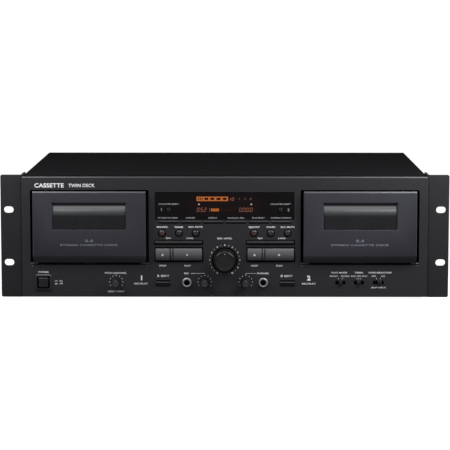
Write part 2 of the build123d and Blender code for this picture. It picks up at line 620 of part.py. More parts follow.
def pane(cx):
    flat = bx(cx - PANE_HALF_X, cx + PANE_HALF_X, -15.2, -13.2, 8.9, PANE_BEND_Z)
    ring = xcyl(-15.2 + PANE_R, PANE_BEND_Z, PANE_R, cx - PANE_HALF_X, cx + PANE_HALF_X) - xcyl(
        -15.2 + PANE_R, PANE_BEND_Z, PANE_R - 2.0, cx - PANE_HALF_X - 1, cx + PANE_HALF_X + 1
    )
    ring = ring & bx(cx - 50, cx + 50, -20, -6.9, PANE_BEND_Z, 60)
    return flat.fuse(ring)


def holder(cx):
    parts = []
    for s in (-1, 1):
        a, b = sorted((cx + s * 50.5, cx + s * 52.8))
        parts.append(xprism([(-13.6, 41.0), (-13.6, -18.7), (-11.1, -22.6), (8.6, -22.6), (8.6, 41.0)], a, b))
        a, b = sorted((cx + s * 44.5, cx + s * 52.8))
        parts.append(bx(a, b, 7.3, 8.6, -22.6, 41.0))
        a, b = sorted((cx + s * 41.5, cx + s * 52.8))
        parts.append(xprism([(-12.5, -20.2), (-11.1, -22.6), (8.6, -22.6), (8.6, -20.2)], a, b))
        # pressing finger at the top of each side
        a, b = sorted((cx + s * 46.0, cx + s * 52.8))
        parts.append(bx(a, b, -13.6, -5.3, 38.0, 41.0))
    # cross bar over the top, joining the two sides
    parts.append(bx(cx - 52.8, cx + 52.8, 7.3, 8.6, 44.5, 46.5))
    for s in (-1, 1):
        a, b = sorted((cx + s * 50.5, cx + s * 52.8))
        parts.append(bx(a, b, 2.0, 8.6, 40.9, 46.5))
    return parts[0].fuse(*parts[1:])


for side, cx in (("left", -DECK_X), ("right", DECK_X)):
    save(f"cassette_door_{side}", door(cx))
    save(f"door_window_{side}", pane(cx))
    save(f"cassette_holder_{side}", holder(cx))


# ---------------------------------------------------------------- transports
FRAME_Y = 10.0
FRAME_T = 2.5
MOTOR_DX, MOTOR_Z, MOTOR_R = -30.0, 25.0, 13.0
FLY_R = 25.0
PULLEY_R = 4.0
REAR_PLATE_Y = 46.0
PILLARS = ((-52.0, -42.0), (-52.0, 42.0), (58.0, 42.0), (2.0, -43.0))


def spindle(cx, dx):
    x = cx + dx
    hub = ycyl(x, SPINDLE_Z, 3.1, -2.5, 8.6)
    tip = ycone(x, SPINDLE_Z, 1.6, 3.1, -5.5, -2.5)
    wings = [
        Pos(x, 3.0, SPINDLE_Z) * Rot(0, a, 0) * Box(8.6, 9.0, 1.2) for a in (0, 60, 120)
    ]
    flange = ycyl(x, SPINDLE_Z, 7.0, 8.4, FRAME_Y - 0.3)
    shaft = ycyl(x, SPINDLE_Z, 2.0, FRAME_Y - 0.5, 16.8)
    gear = ycyl(x, SPINDLE_Z, 13.5, FRAME_Y + FRAME_T + 0.5, 16.0)
    return hub.fuse(tip, flange, shaft, gear, *wings)


def flywheel(cx):
    x = cx + CAPSTAN_DX
    shaft = ycyl(x, CAPSTAN_Z, CAPSTAN_R, -4.5, REAR_PLATE_Y - 0.1)
    disc = ycyl(x, CAPSTAN_Z, FLY_R, 31.0, 43.0) - ycyl(x, CAPSTAN_Z, FLY_R - 5, 29.0, 35.0)
    return shaft.fuse(disc, ycyl(x, CAPSTAN_Z, 5.0, 29.0, 36.0))


def belt(cx):
    big = Pos(cx + CAPSTAN_DX, CAPSTAN_Z)
    small = Pos(cx + MOTOR_DX, MOTOR_Z)

    def loop(t):
        return make_hull(((big * Circle(FLY_R + t)) + (small * Circle(PULLEY_R + t))).edges())

    plane = Plane(origin=(0, 41.2, 0), x_dir=(1, 0, 0), z_dir=(0, -1, 0))
    return extrude(plane * (loop(0.85) - loop(0.05)), amount=3.4)


def motor(cx):
    x = cx + MOTOR_DX
    can = ycyl(x, MOTOR_Z, MOTOR_R, 17.2, 36.8)
    can = fillet(can.edges().filter_by(GeomType.CIRCLE), 1.0)
    return can.fuse(ycyl(x, MOTOR_Z, 1.0, 36.0, 43.5), ycyl(x, MOTOR_Z, PULLEY_R, 37.3, 42.6))


def carriage(cx):
    # sliding plate with the record/play head, the erase head and the pinch roller
    plate = bx(cx - 24.0, cx + 39.4, 7.6, 9.5, -38.0, -24.5)
    head = bx(cx - 6.2, cx + 6.2, -3.5, 6.0, -30.0, -23.6)
    crown = xprism([(-3.5, -23.7), (6.0, -23.7), (6.0, -22.4), (4.4, -21.2), (-1.9, -21.2), (-3.5, -22.4)], cx - 6.2, cx + 6.2)
    base = bx(cx - 8.5, cx + 8.5, -4.5, 7.7, -31.6, -29.9)
    erase = bx(cx - 20.0, cx - 14.0, -3.0, 7.7, -30.0, -21.8)
    px, pz = cx + CAPSTAN_DX, CAPSTAN_Z - CAPSTAN_R - PINCH_R - 0.03 - HEAD_TRAVEL
    roller = ycyl(px, pz, PINCH_R, -3.4, 4.6)
    axle = ycyl(px, pz, 1.2, -4.4, 7.7)
    return plate.fuse(head, crown, base, erase, roller, axle)


def transport(cx):
    plate = rprism(cx - 56.0, cx + 62.0, -46.0, 46.0, 3.0, FRAME_Y, FRAME_Y + FRAME_T)
    rear = rprism(cx - 56.0, cx + 62.0, -46.0, 46.0, 3.0, REAR_PLATE_Y, REAR_PLATE_Y + 2.0)
    adds = [rear]
    for dx, z in PILLARS:
        adds.append(ycyl(cx + dx, z, 3.0, FRAME_Y + 1, REAR_PLATE_Y + 1))
    # capstan bearing
    adds.append(ycyl(cx + CAPSTAN_DX, CAPSTAN_Z, 4.5, FRAME_Y + 1, 28.0))
    # motor seat on the front plate
    adds.append(ycyl(cx + MOTOR_DX, MOTOR_Z, 5.0, 16.6, 17.2))
    # feet down to the chassis floor
    for a, b in ((-30.0, -10.0), (38.0, 58.0)):
        adds.append(bx(cx + a, cx + b, FRAME_Y, FRAME_Y + FRAME_T, PAN_BOT + PAN_T, -45.0))
        adds.append(bx(cx + a, cx + b, FRAME_Y, FRAME_Y + 16, PAN_BOT + PAN_T, PAN_BOT + PAN_T + 2.0))
        adds.append(bx(cx + a, cx + b, REAR_PLATE_Y, REAR_PLATE_Y + 2.0, PAN_BOT + PAN_T, -45.0))
    # guide rails for the head carriage
    adds.append(bx(cx - 26.6, cx - 24.1, 7.4, FRAME_Y + 0.5, -42.0, -22.5))
    adds.append(bx(cx + 39.5, cx + 40.9, 7.4, FRAME_Y + 0.5, -42.0, -23.0))
    body = union(plate, adds)
    holes = [
        ycyl(cx - SPINDLE_DX, SPINDLE_Z, 2.05, 5, 20),
        ycyl(cx + SPINDLE_DX, SPINDLE_Z, 2.05, 5, 20),
        ycyl(cx + CAPSTAN_DX, CAPSTAN_Z, CAPSTAN_R + 0.04, 5, 30),
        ycyl(cx + MOTOR_DX, MOTOR_Z, 2.2, 5, 20),
    ]
    return cut(body, holes)


frames, motors, belts = [], [], []
for side, cx in (("left", -DECK_X), ("right", DECK_X)):
    save(f"supply_spindle_{side}", spindle(cx, -SPINDLE_DX))
    save(f"takeup_spindle_{side}", spindle(cx, SPINDLE_DX))
    save(f"capstan_flywheel_{side}", flywheel(cx))
    save(f"head_carriage_{side}", carriage(cx))
    t = transport(cx)
    # the motor's seat ring stands on the motor
    frames.append(t)
    motors.append(motor(cx))
    belts.append(belt(cx))
save("transport_frames", frames)
save("capstan_motors", motors)
save("drive_belts", belts)

# ---------------------------------------------------------------- mains transformer
TX, TY = -150.0, 215.0
core = bx(TX - 33, TX + 33, TY - 14, TY + 14, PAN_BOT + PAN_T + 3.0, -5.0)
coil = rprism(TX - 20, TX + 20, -52.0, -14.0, 5.0, TY - 26, TY + 26)
clamp = bx(TX - 42, TX + 42, TY - 9, TY + 9, PAN_BOT + PAN_T, PAN_BOT + PAN_T + 3.1)
save("power_transformer", core.fuse(coil, clamp))

# ---------------------------------------------------------------- circuit boards
boards = []
# control board behind the middle of the fascia, with the display tube and the record level control
ctrl = bx(-79.0, 79.0, BOARD_Y, BOARD_Y + 1.6, -60.0, 52.0)
ctrl = union(ctrl, [
    bx(-36.0, 36.0, -5.5, BOARD_Y + 0.1, 22.5, 47.5),
    ycyl(*REC_KNOB, 8.5, -5.0, BOARD_Y + 0.1),
    ycyl(*SMALL_KNOBS["mic_level_knob"], 5.5, -5.0, BOARD_Y + 0.1),
    ycyl(*SMALL_KNOBS["phones_level_knob"], 5.5, -5.0, BOARD_Y + 0.1),
])
ctrl = cut(ctrl, [
    bx(-48.2, -33.2, -1, 10, -61, -41.5), bx(34.0, 49.0, -1, 10, -61, -41.5),
    ycyl(*REC_KNOB, 3.05, -10, 0), ycyl(*SMALL_KNOBS["mic_level_knob"], 2.05, -10, 0), ycyl(*SMALL_KNOBS["phones_level_knob"], 2.05, -10, 0),
])
boards.append(ctrl)
px, pz = SMALL_KNOBS["pitch_knob"]
pitch = bx(px - 10, px + 10, BOARD_Y, BOARD_Y + 1.6, pz - 9, pz + 8).fuse(ycyl(px, pz, 5.5, -5.0, BOARD_Y + 0.1))
boards.append(pitch - ycyl(px, pz, 2.05, -10, 0))
slide = bx(112.0, 178.0, BOARD_Y, BOARD_Y + 1.6, -58.0, -41.0)
boards.append(union(slide, [bx(x - 7, x + 7, -1.5, BOARD_Y + 0.1, SLIDE_Z - 3, SLIDE_Z + 3) for x, _ in SLIDES.values()]))
# mains switch behind the power key
boards.append(bx(POWER[0] - 8, POWER[0] + 8, 2.5, 26.0, POWER[1] - 8.8, POWER[1] + 2.5))
# main board on the chassis floor, with its parts
MB = (-80.0, 200.0, 90.0, 262.0)
main = bx(MB[0], MB[1], MB[2], MB[3], -56.0, -54.4)
parts = []
for x in (MB[0] + 6, MB[1] - 6):
    for y in (MB[2] + 6, MB[3] - 6):
        parts.append(zcyl(x, y, 3.0, PAN_BOT + PAN_T, -55.9))
for i, (x, y, r, h) in enumerate(
    ((-60, 240, 11, 34), (-60, 212, 11, 34), (-32, 240, 8, 24), (-32, 220, 6, 16), (10, 120, 4, 9), (30, 120, 4, 9), (90, 120, 4, 9), (110, 120, 4, 9), (60, 160, 5, 12), (130, 200, 4, 9), (150, 200, 4, 9))
):
    parts.append(zcyl(x, y, r, -54.5, -54.4 + h))
for x, y, w, d, h in (
    (20, 150, 30, 12, 5), (20, 180, 30, 12, 5), (70, 200, 40, 14, 5), (110, 160, 22, 9, 4), (150, 150, 22, 9, 4), (150, 170, 22, 9, 4), (180, 130, 12, 18, 10), (180, 160, 12, 18, 10),
):
    parts.append(bx(x - w / 2, x + w / 2, y - d / 2, y + d / 2, -54.5, -54.4 + h))
# heat sink
for k in range(6):
    parts.append(bx(-10 + k * 5, -8.4 + k * 5, 225, 255, -54.5, -22))
parts.append(bx(-10, 16.6, 238, 241, -54.5, -22))
boards.append(union(main, parts))
save("circuit_boards", boards)

print("nodes", len([f for f in os.listdir("parts") if f.endswith(".step")]))
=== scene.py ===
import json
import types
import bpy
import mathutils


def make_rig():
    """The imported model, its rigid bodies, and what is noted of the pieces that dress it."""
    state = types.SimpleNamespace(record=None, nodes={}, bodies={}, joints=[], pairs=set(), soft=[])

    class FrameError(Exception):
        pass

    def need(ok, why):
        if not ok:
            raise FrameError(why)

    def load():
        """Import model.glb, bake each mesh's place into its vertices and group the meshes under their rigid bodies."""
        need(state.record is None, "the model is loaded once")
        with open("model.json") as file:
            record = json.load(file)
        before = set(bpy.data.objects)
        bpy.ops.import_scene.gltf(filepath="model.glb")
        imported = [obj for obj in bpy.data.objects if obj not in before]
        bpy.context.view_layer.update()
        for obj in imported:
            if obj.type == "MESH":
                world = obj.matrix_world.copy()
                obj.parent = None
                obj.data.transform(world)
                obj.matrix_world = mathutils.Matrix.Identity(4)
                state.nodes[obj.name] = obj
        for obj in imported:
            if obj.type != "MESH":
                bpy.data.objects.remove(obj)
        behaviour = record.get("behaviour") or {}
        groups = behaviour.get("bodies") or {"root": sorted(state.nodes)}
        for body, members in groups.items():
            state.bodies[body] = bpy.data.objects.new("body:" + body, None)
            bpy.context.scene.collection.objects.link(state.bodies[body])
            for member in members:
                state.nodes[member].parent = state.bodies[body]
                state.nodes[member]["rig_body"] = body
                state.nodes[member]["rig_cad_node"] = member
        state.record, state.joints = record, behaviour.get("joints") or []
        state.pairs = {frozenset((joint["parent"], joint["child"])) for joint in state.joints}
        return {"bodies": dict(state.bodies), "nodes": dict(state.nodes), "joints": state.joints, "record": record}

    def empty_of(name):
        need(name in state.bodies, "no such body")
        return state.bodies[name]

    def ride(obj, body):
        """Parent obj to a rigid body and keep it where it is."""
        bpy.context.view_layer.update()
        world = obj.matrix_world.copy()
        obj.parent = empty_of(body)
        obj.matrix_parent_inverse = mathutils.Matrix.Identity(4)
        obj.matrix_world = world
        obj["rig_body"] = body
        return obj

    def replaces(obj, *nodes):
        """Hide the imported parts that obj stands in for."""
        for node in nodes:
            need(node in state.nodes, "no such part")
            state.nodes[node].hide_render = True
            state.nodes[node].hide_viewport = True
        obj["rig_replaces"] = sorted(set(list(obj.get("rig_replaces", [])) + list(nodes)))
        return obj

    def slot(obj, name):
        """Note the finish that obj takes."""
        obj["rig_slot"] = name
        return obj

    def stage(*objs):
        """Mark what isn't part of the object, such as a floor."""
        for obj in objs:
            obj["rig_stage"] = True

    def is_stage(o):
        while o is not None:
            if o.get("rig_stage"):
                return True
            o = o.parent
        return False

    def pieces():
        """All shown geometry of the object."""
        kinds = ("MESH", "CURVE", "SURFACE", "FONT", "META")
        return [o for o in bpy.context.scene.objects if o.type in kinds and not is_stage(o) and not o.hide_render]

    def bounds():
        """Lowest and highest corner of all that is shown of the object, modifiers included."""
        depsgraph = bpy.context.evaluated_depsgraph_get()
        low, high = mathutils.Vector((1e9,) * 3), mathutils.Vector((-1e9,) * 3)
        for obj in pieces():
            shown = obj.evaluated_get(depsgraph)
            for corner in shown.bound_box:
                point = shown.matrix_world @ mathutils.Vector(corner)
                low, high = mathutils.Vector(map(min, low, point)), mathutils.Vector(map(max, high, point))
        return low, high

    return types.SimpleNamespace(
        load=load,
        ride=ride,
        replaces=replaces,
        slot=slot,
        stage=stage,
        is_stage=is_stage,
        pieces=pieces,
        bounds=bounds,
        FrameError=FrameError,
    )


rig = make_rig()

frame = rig.load()

import json
import math

import bmesh
import bpy
from mathutils import Matrix, Vector
from mathutils.bvhtree import BVHTree

# the start-up scene's own objects aren't part of this one
for start_up in ("Cube", "Light", "Camera"):
    found = bpy.data.objects.get(start_up)
    if found is not None and "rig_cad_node" not in found:
        bpy.data.objects.remove(found, do_unlink=True)
CAD_BOX = [[float(c) for c in corner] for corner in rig.bounds()]

NODES = frame["nodes"]
MM = 0.001
SC = bpy.context.scene


def lin(v):
    v /= 255.0
    return v / 12.92 if v <= 0.04045 else ((v + 0.055) / 1.055) ** 2.4


def rgb(r, g, b):
    return (lin(r), lin(g), lin(b), 1.0)


# ================================================================ materials
class Tree:
    """A small builder for node trees."""

    def __init__(self, name):
        self.mat = bpy.data.materials.new(name)
        self.mat.use_nodes = True
        self.nt = self.mat.node_tree
        self.nt.nodes.clear()
        self.out = self.new("ShaderNodeOutputMaterial")
        self._coord = None

    def new(self, kind, inputs=None, **props):
        node = self.nt.nodes.new(kind)
        for k, v in props.items():
            setattr(node, k, v)
        for k, v in (inputs or {}).items():
            self.put(node.inputs[k], v)
        return node

    def put(self, socket, value):
        if hasattr(value, "is_output") or hasattr(value, "links"):
            self.nt.links.new(value, socket)
        else:
            socket.default_value = value

    @property
    def coord(self):
        if self._coord is None:
            self._coord = self.new("ShaderNodeTexCoord").outputs["Object"]
        return self._coord

    def stretched(self, scale):
        return self.new("ShaderNodeMapping", {"Vector": self.coord, "Scale": scale}).outputs["Vector"]

    def noise(self, scale, detail=3.0, rough=0.55, vector=None):
        n = self.new("ShaderNodeTexNoise", {"Vector": vector or self.coord, "Scale": scale, "Detail": detail, "Roughness": rough})
        return n.outputs["Fac"]

    def math(self, op, a, b=0.0, c=None, clamp=False):
        n = self.new("ShaderNodeMath", operation=op, use_clamp=clamp)
        self.put(n.inputs[0], a)
        self.put(n.inputs[1], b)
        if c is not None:
            self.put(n.inputs[2], c)
        return n.outputs[0]

    def span(self, value, a, b, c, d, clamp=True):
        n = self.new("ShaderNodeMapRange", {"Value": value, "From Min": a, "From Max": b, "To Min": c, "To Max": d}, clamp=clamp)
        return n.outputs["Result"]

    def mix(self, fac, a, b, blend="MIX"):
        n = self.new("ShaderNodeMix", data_type="RGBA", blend_type=blend)
        self.put(n.inputs[0], fac)
        self.put(n.inputs[6], a)
        self.put(n.inputs[7], b)
        return n.outputs[2]

    def scale(self, color, factor):
        n = self.new("ShaderNodeVectorMath", operation="SCALE")
        self.put(n.inputs[0], color if not isinstance(color, tuple) else color[:3])
        self.put(n.inputs["Scale"], factor)
        return n.outputs[0]

    def axis(self, which):
        n = self.new("ShaderNodeSeparateXYZ", {"Vector": self.coord})
        return n.outputs[which]

    def ramp(self, fac, stops):
        n = self.new("ShaderNodeValToRGB", {"Fac": fac})
        cr = n.color_ramp
        while len(cr.elements) < len(stops):
            cr.elements.new(0.5)
        for e, (p, v) in zip(cr.elements, stops):
            e.position = p
            e.color = (v, v, v, 1) if not isinstance(v, tuple) else v
        return n.outputs["Color"]

    def edges(self, radius):
        """0 on faces, 1 on convex or concave edges."""
        bev = self.new("ShaderNodeBevel", {"Radius": radius}, samples=4)
        geo = self.new("ShaderNodeNewGeometry")
        dot = self.new("ShaderNodeVectorMath", operation="DOT_PRODUCT")
        self.put(dot.inputs[0], bev.outputs["Normal"])
        self.put(dot.inputs[1], geo.outputs["Normal"])
        return self.span(dot.outputs["Value"], 0.995, 0.85, 0.0, 1.0)


def surf(name, base, rough=0.5, spec=0.5, metal=0.0, mottle=0.06, mottle_at=45.0, grain=2600.0, grain_amt=0.05,
         bump=0.25, depth=0.00002, rough_var=0.08, wear=0.0, wear_col=None, wear_r=0.0005, lines=None, lines_amt=0.12,
         grad=None, coat=0.0, sheen=0.0):
    """A solid finish: slow tone variation, fine moulded or painted grain in tone, roughness and bump, worn edges."""
    t = Tree(name)
    slow = t.noise(mottle_at, 4.0, 0.6)
    fine = t.noise(grain, 2.0, 0.6)
    factor = t.math("MULTIPLY", t.span(slow, 0.3, 0.7, 1 - mottle, 1 + mottle), t.span(fine, 0.3, 0.7, 1 - grain_amt, 1 + grain_amt))
    height = fine
    rough_in = t.math("ADD", rough - rough_var / 2, t.math("MULTIPLY", t.noise(mottle_at * 3.1, 3.0), rough_var))
    if lines is not None:
        drawn = t.noise(60.0, 2.0, 0.5, t.stretched(lines))
        factor = t.math("MULTIPLY", factor, t.span(drawn, 0.3, 0.7, 1 - lines_amt, 1 + lines_amt))
        rough_in = t.math("ADD", rough_in, t.span(drawn, 0.3, 0.7, -0.05, 0.06))
        height = t.math("ADD", t.math("MULTIPLY", fine, 0.4), t.math("MULTIPLY", drawn, 0.6))
    if grad is not None:
        z0, z1, stops = grad
        ramp = t.ramp(t.span(t.axis("Z"), z0, z1, 0.0, 1.0), stops)
        factor = t.math("MULTIPLY", factor, ramp)
    color = t.scale(base, factor)
    if wear > 0:
        mask = t.math("MULTIPLY", t.edges(wear_r), t.span(t.noise(420.0, 4.0, 0.7), 0.38, 0.62, 0.25, 1.0))
        mask = t.math("MULTIPLY", mask, wear)
        color = t.mix(mask, color, wear_col or tuple(min(1.0, c * 2.2 + 0.01) for c in base[:3]) + (1.0,))
        rough_in = t.math("SUBTRACT", rough_in, t.math("MULTIPLY", mask, 0.12))
    bmp = t.new("ShaderNodeBump", {"Strength": bump, "Distance": depth, "Height": height})
    b = t.new("ShaderNodeBsdfPrincipled", {"Base Color": color, "Roughness": rough_in, "Metallic": metal, "Normal": bmp.outputs["Normal"],
                                           "Specular IOR Level": spec, "Coat Weight": coat, "Sheen Weight": sheen})
    t.nt.links.new(b.outputs[0], t.out.inputs["Surface"])
    t.mat.diffuse_color = tuple(base[:3]) + (1.0,)
    return t.mat


def smoked(name, tint, alpha, rough=0.08, spec=0.5, grad=None, swirl=0.02, gain=1.0, painted_glare=None):
    """Smoked acrylic: dark body colour, part see-through, with faint moulding flow and a few fine marks. The colour
    ramp by height is painted light, and the emission by height is a painted reflection.
    """
    t = Tree(name)
    slow = t.noise(30.0, 3.0, 0.5)
    marks = t.noise(900.0, 2.0, 0.5, t.stretched((1.0, 1.0, 0.12)))
    factor = t.span(slow, 0.3, 0.7, 0.9, 1.1)
    # painted light: the colour is made brighter with height, in place of light falling off down the pane
    if grad is not None:
        z0, z1, stops = grad
        factor = t.math("MULTIPLY", factor, t.ramp(t.span(t.axis("Z"), z0, z1, 0.0, 1.0), stops))
        factor = t.math("MULTIPLY", factor, gain)
    color = t.scale(tint, factor)
    r = t.math("ADD", rough - 0.02, t.math("MULTIPLY", marks, 0.05))
    bmp = t.new("ShaderNodeBump", {"Strength": swirl, "Distance": 0.0004, "Height": slow})
    b = t.new("ShaderNodeBsdfPrincipled", {"Base Color": color, "Roughness": r, "Specular IOR Level": spec, "IOR": 1.49,
                                           "Alpha": alpha, "Normal": bmp.outputs["Normal"]})
    # painted reflection: emission that rises with height stands in for the light the curved pane would mirror
    if painted_glare is not None:
        z0, z1, top, stops = painted_glare
        glare = t.math("MULTIPLY", t.ramp(t.span(t.axis("Z"), z0, z1, 0.0, 1.0), stops), top / alpha)
        b.inputs["Emission Color"].default_value = (0.96, 0.98, 1.0, 1.0)
        t.nt.links.new(t.math("MULTIPLY", glare, t.span(slow, 0.3, 0.7, 0.985, 1.015)), b.inputs["Emission Strength"])
    t.nt.links.new(b.outputs[0], t.out.inputs["Surface"])
    t.mat.diffuse_color = tuple(tint[:3]) + (alpha,)
    return t.mat


def ink(name, base, rough=0.55):
    """Screen-printed ink: slightly uneven cover."""
    t = Tree(name)
    a = t.noise(1400.0, 3.0, 0.6)
    b0 = t.noise(160.0, 2.0, 0.5)
    factor = t.math("MULTIPLY", t.span(a, 0.3, 0.7, 0.9, 1.06), t.span(b0, 0.3, 0.7, 0.95, 1.03))
    bmp = t.new("ShaderNodeBump", {"Strength": 0.2, "Distance": 0.00001, "Height": a})
    b = t.new("ShaderNodeBsdfPrincipled", {"Base Color": t.scale(base, factor), "Roughness": t.span(b0, 0.3, 0.7, rough - 0.05, rough + 0.05),
                                           "Specular IOR Level": 0.35, "Normal": bmp.outputs["Normal"]})
    t.nt.links.new(b.outputs[0], t.out.inputs["Surface"])
    t.mat.diffuse_color = tuple(base[:3]) + (1.0,)
    return t.mat


def glow(name, base, strength):
    """Phosphor: granular light with a fine wire grid in front of it."""
    t = Tree(name)
    grains = t.span(t.noise(5000.0, 2.0, 0.6), 0.3, 0.7, 0.8, 1.2)
    wave = t.new("ShaderNodeTexWave", {"Vector": t.coord, "Scale": 380.0, "Distortion": 0.0}, wave_type="BANDS", bands_direction="X")
    grid = t.span(wave.outputs["Fac"], 0.0, 0.35, 0.72, 1.0)
    e = t.math("MULTIPLY", t.math("MULTIPLY", grains, grid), strength)
    b = t.new("ShaderNodeBsdfPrincipled", {"Base Color": t.scale(base, 0.35), "Roughness": 0.6, "Emission Color": base, "Emission Strength": e})
    t.nt.links.new(b.outputs[0], t.out.inputs["Surface"])
    t.mat.diffuse_color = tuple(base[:3]) + (1.0,)
    return t.mat


M = {}
M["fascia"] = surf("fascia_moulded_black", rgb(30, 30, 33), rough=0.50, spec=0.30, mottle=0.05, grain=3200, bump=0.22, depth=0.000025, wear=0.35, wear_r=0.0005,
                   wear_col=rgb(74, 74, 80))
M["door"] = surf("door_moulded_black", rgb(44, 44, 50), rough=0.42, spec=0.32, mottle=0.05, grain=3600, bump=0.16, depth=0.00002, wear=0.5, wear_r=0.0006,
                 wear_col=rgb(84, 84, 92))
M["cover"] = surf("cover_powder_black", rgb(6, 6, 7), rough=0.72, spec=0.03, mottle=0.08, mottle_at=30, grain=1500, grain_amt=0.10, bump=0.35, depth=0.00005,
                  wear=0.3, wear_r=0.0006, wear_col=rgb(48, 48, 50))
M["bracket"] = surf("bracket_powder_black", rgb(29, 29, 31), rough=0.52, spec=0.22, mottle=0.06, grain=1700, grain_amt=0.08, bump=0.3, depth=0.00004,
                    wear=0.6, wear_r=0.0006, wear_col=rgb(86, 86, 92))
M["rear"] = surf("rear_painted_black", rgb(36, 36, 38), rough=0.5, spec=0.3, mottle=0.06, grain=1800, bump=0.25, depth=0.00004, wear=0.5, wear_r=0.0006,
                 wear_col=rgb(96, 96, 98))
M["zinc"] = surf("chassis_zinc_plate", rgb(150, 153, 150), rough=0.38, metal=0.9, mottle=0.16, mottle_at=90, grain=900, bump=0.12, lines=(1.0, 14.0, 14.0),
                 wear=0.3, wear_col=rgb(205, 205, 205))
M["steel"] = surf("transport_plated_steel", rgb(148, 148, 150), rough=0.34, metal=0.95, mottle=0.1, mottle_at=60, grain=1200, bump=0.1, lines=(1.0, 10.0, 22.0),
                  wear=0.4, wear_col=rgb(220, 220, 220))
# painted shade: the transport frames and head carriages get a near-black steel colour so that, seen through the gaps
# round the doors, they read as lying in shade
M["plate"] = surf("transport_steel_painted_shade", rgb(26, 26, 28), rough=0.5, spec=0.3, metal=0.25, mottle=0.16, mottle_at=60, grain=1200, bump=0.12,
                  lines=(1.0, 10.0, 22.0), wear=0.5, wear_col=rgb(120, 120, 122))
M["rubber"] = surf("foot_rubber_black", rgb(26, 26, 26), rough=0.8, spec=0.25, mottle=0.14, mottle_at=120, grain=1500, grain_amt=0.14, bump=0.5, depth=0.00006)
M["belt"] = surf("belt_rubber_black", rgb(20, 20, 20), rough=0.7, spec=0.25, mottle=0.1, grain=1500, bump=0.3, lines=(20.0, 1.0, 20.0))
M["screw"] = surf("screw_black_zinc", rgb(52, 52, 55), rough=0.34, metal=0.85, mottle=0.12, mottle_at=300, grain=2500, bump=0.12, wear=0.8, wear_r=0.0004,
                  wear_col=rgb(140, 140, 145))
M["socket"] = surf("socket_black_plastic", rgb(30, 30, 31), rough=0.38, spec=0.45, mottle=0.06, grain=2600, bump=0.12, wear=0.3)
M["chrome"] = surf("socket_nickel", rgb(176, 178, 182), rough=0.22, metal=1.0, mottle=0.05, mottle_at=200, grain=2200, bump=0.06, lines=(6.0, 6.0, 6.0), lines_amt=0.05,
                   wear=0.0)
M["nut"] = surf("jack_nut_satin", rgb(150, 151, 154), rough=0.42, metal=0.55, mottle=0.06, mottle_at=200, grain=2200, bump=0.08)
M["gold"] = surf("contact_gold", rgb(196, 160, 84), rough=0.26, metal=1.0, mottle=0.06, mottle_at=220, grain=2200, bump=0.08)
M["iron"] = surf("transformer_lamination", rgb(88, 86, 84), rough=0.5, metal=0.55, mottle=0.14, grain=900, bump=0.4, lines=(1.0, 60.0, 1.0), lines_amt=0.3)
M["copper"] = surf("coil_tape", rgb(196, 168, 60), rough=0.35, spec=0.5, mottle=0.06, grain=900, bump=0.15)
M["board"] = surf("board_solder_mask", rgb(30, 92, 44), rough=0.36, spec=0.5, mottle=0.12, mottle_at=180, grain=1500, bump=0.25, coat=0.2)
M["part"] = surf("board_components", rgb(24, 24, 26), rough=0.45, spec=0.4, mottle=0.1, grain=1800, bump=0.25, wear=0.3)
M["motor"] = surf("motor_can_steel", rgb(168, 168, 166), rough=0.3, metal=0.95, mottle=0.08, grain=1500, bump=0.1, lines=(10.0, 1.0, 10.0))
M["brass"] = surf("flywheel_turned_brass", rgb(186, 158, 96), rough=0.28, metal=1.0, mottle=0.08, grain=1500, bump=0.12, lines=(18.0, 1.0, 18.0))
M["holder"] = surf("holder_moulded_black", rgb(24, 24, 25), rough=0.55, spec=0.35, mottle=0.08, grain=2200, bump=0.25, wear=0.4)
M["spindle"] = surf("spindle_acetal_black", rgb(36, 36, 37), rough=0.4, spec=0.45, mottle=0.06, grain=2600, bump=0.15, wear=0.4)
M["key"] = surf("key_grey_plastic", rgb(63, 63, 66), rough=0.42, spec=0.4, mottle=0.05, grain=3400, bump=0.15, depth=0.000018, wear=0.5, wear_r=0.0004,
                wear_col=rgb(124, 124, 130))
M["round"] = surf("round_key_grey", rgb(27, 27, 29), rough=0.28, spec=0.8, mottle=0.05, grain=3400, bump=0.12, wear=0.4, wear_r=0.0004, wear_col=rgb(120, 120, 126))
M["record"] = surf("record_key_red", rgb(52, 30, 27), rough=0.28, spec=0.8, mottle=0.06, grain=3400, bump=0.12, wear=0.4, wear_r=0.0004, wear_col=rgb(110, 76, 70))
M["bar"] = surf("bar_key_dark", rgb(26, 26, 28), rough=0.46, spec=0.22, mottle=0.05, grain=3400, bump=0.15, wear=0.35, wear_r=0.0004, wear_col=rgb(70, 70, 74))
# painted shade: the knob body is near black, far darker than its rim and face, so that its upward-facing side reads as
# shaded
M["knob"] = surf("knob_black", rgb(7, 7, 8), rough=0.5, spec=0.16, mottle=0.06, grain=3000, bump=0.18, wear=0.15, wear_r=0.0004, wear_col=rgb(40, 40, 42))
M["knob_rim"] = surf("knob_rim_polished", rgb(22, 22, 23), rough=0.27, spec=0.25, mottle=0.05, grain=3000, bump=0.08)
M["knob_face"] = surf("knob_face_turned", rgb(19, 19, 20), rough=0.42, spec=0.4, mottle=0.05, grain=3000, bump=0.12)
# the small knobs' caps are lighter grey than the body: partly the cap's colour, partly a painted highlight on the dome
M["knob_cap"] = surf("small_knob_cap", rgb(36, 36, 38), rough=0.33, spec=0.6, mottle=0.05, grain=3000, bump=0.1)
# painted light: the pane's tone rises towards its top: height fraction, tone
PANE_PAINTED_LIGHT_TONE = [(0.0, 0.6), (0.575, 0.6), (0.62, 0.6), (0.70, 0.8), (0.78, 1.2), (1.0, 1.2)]
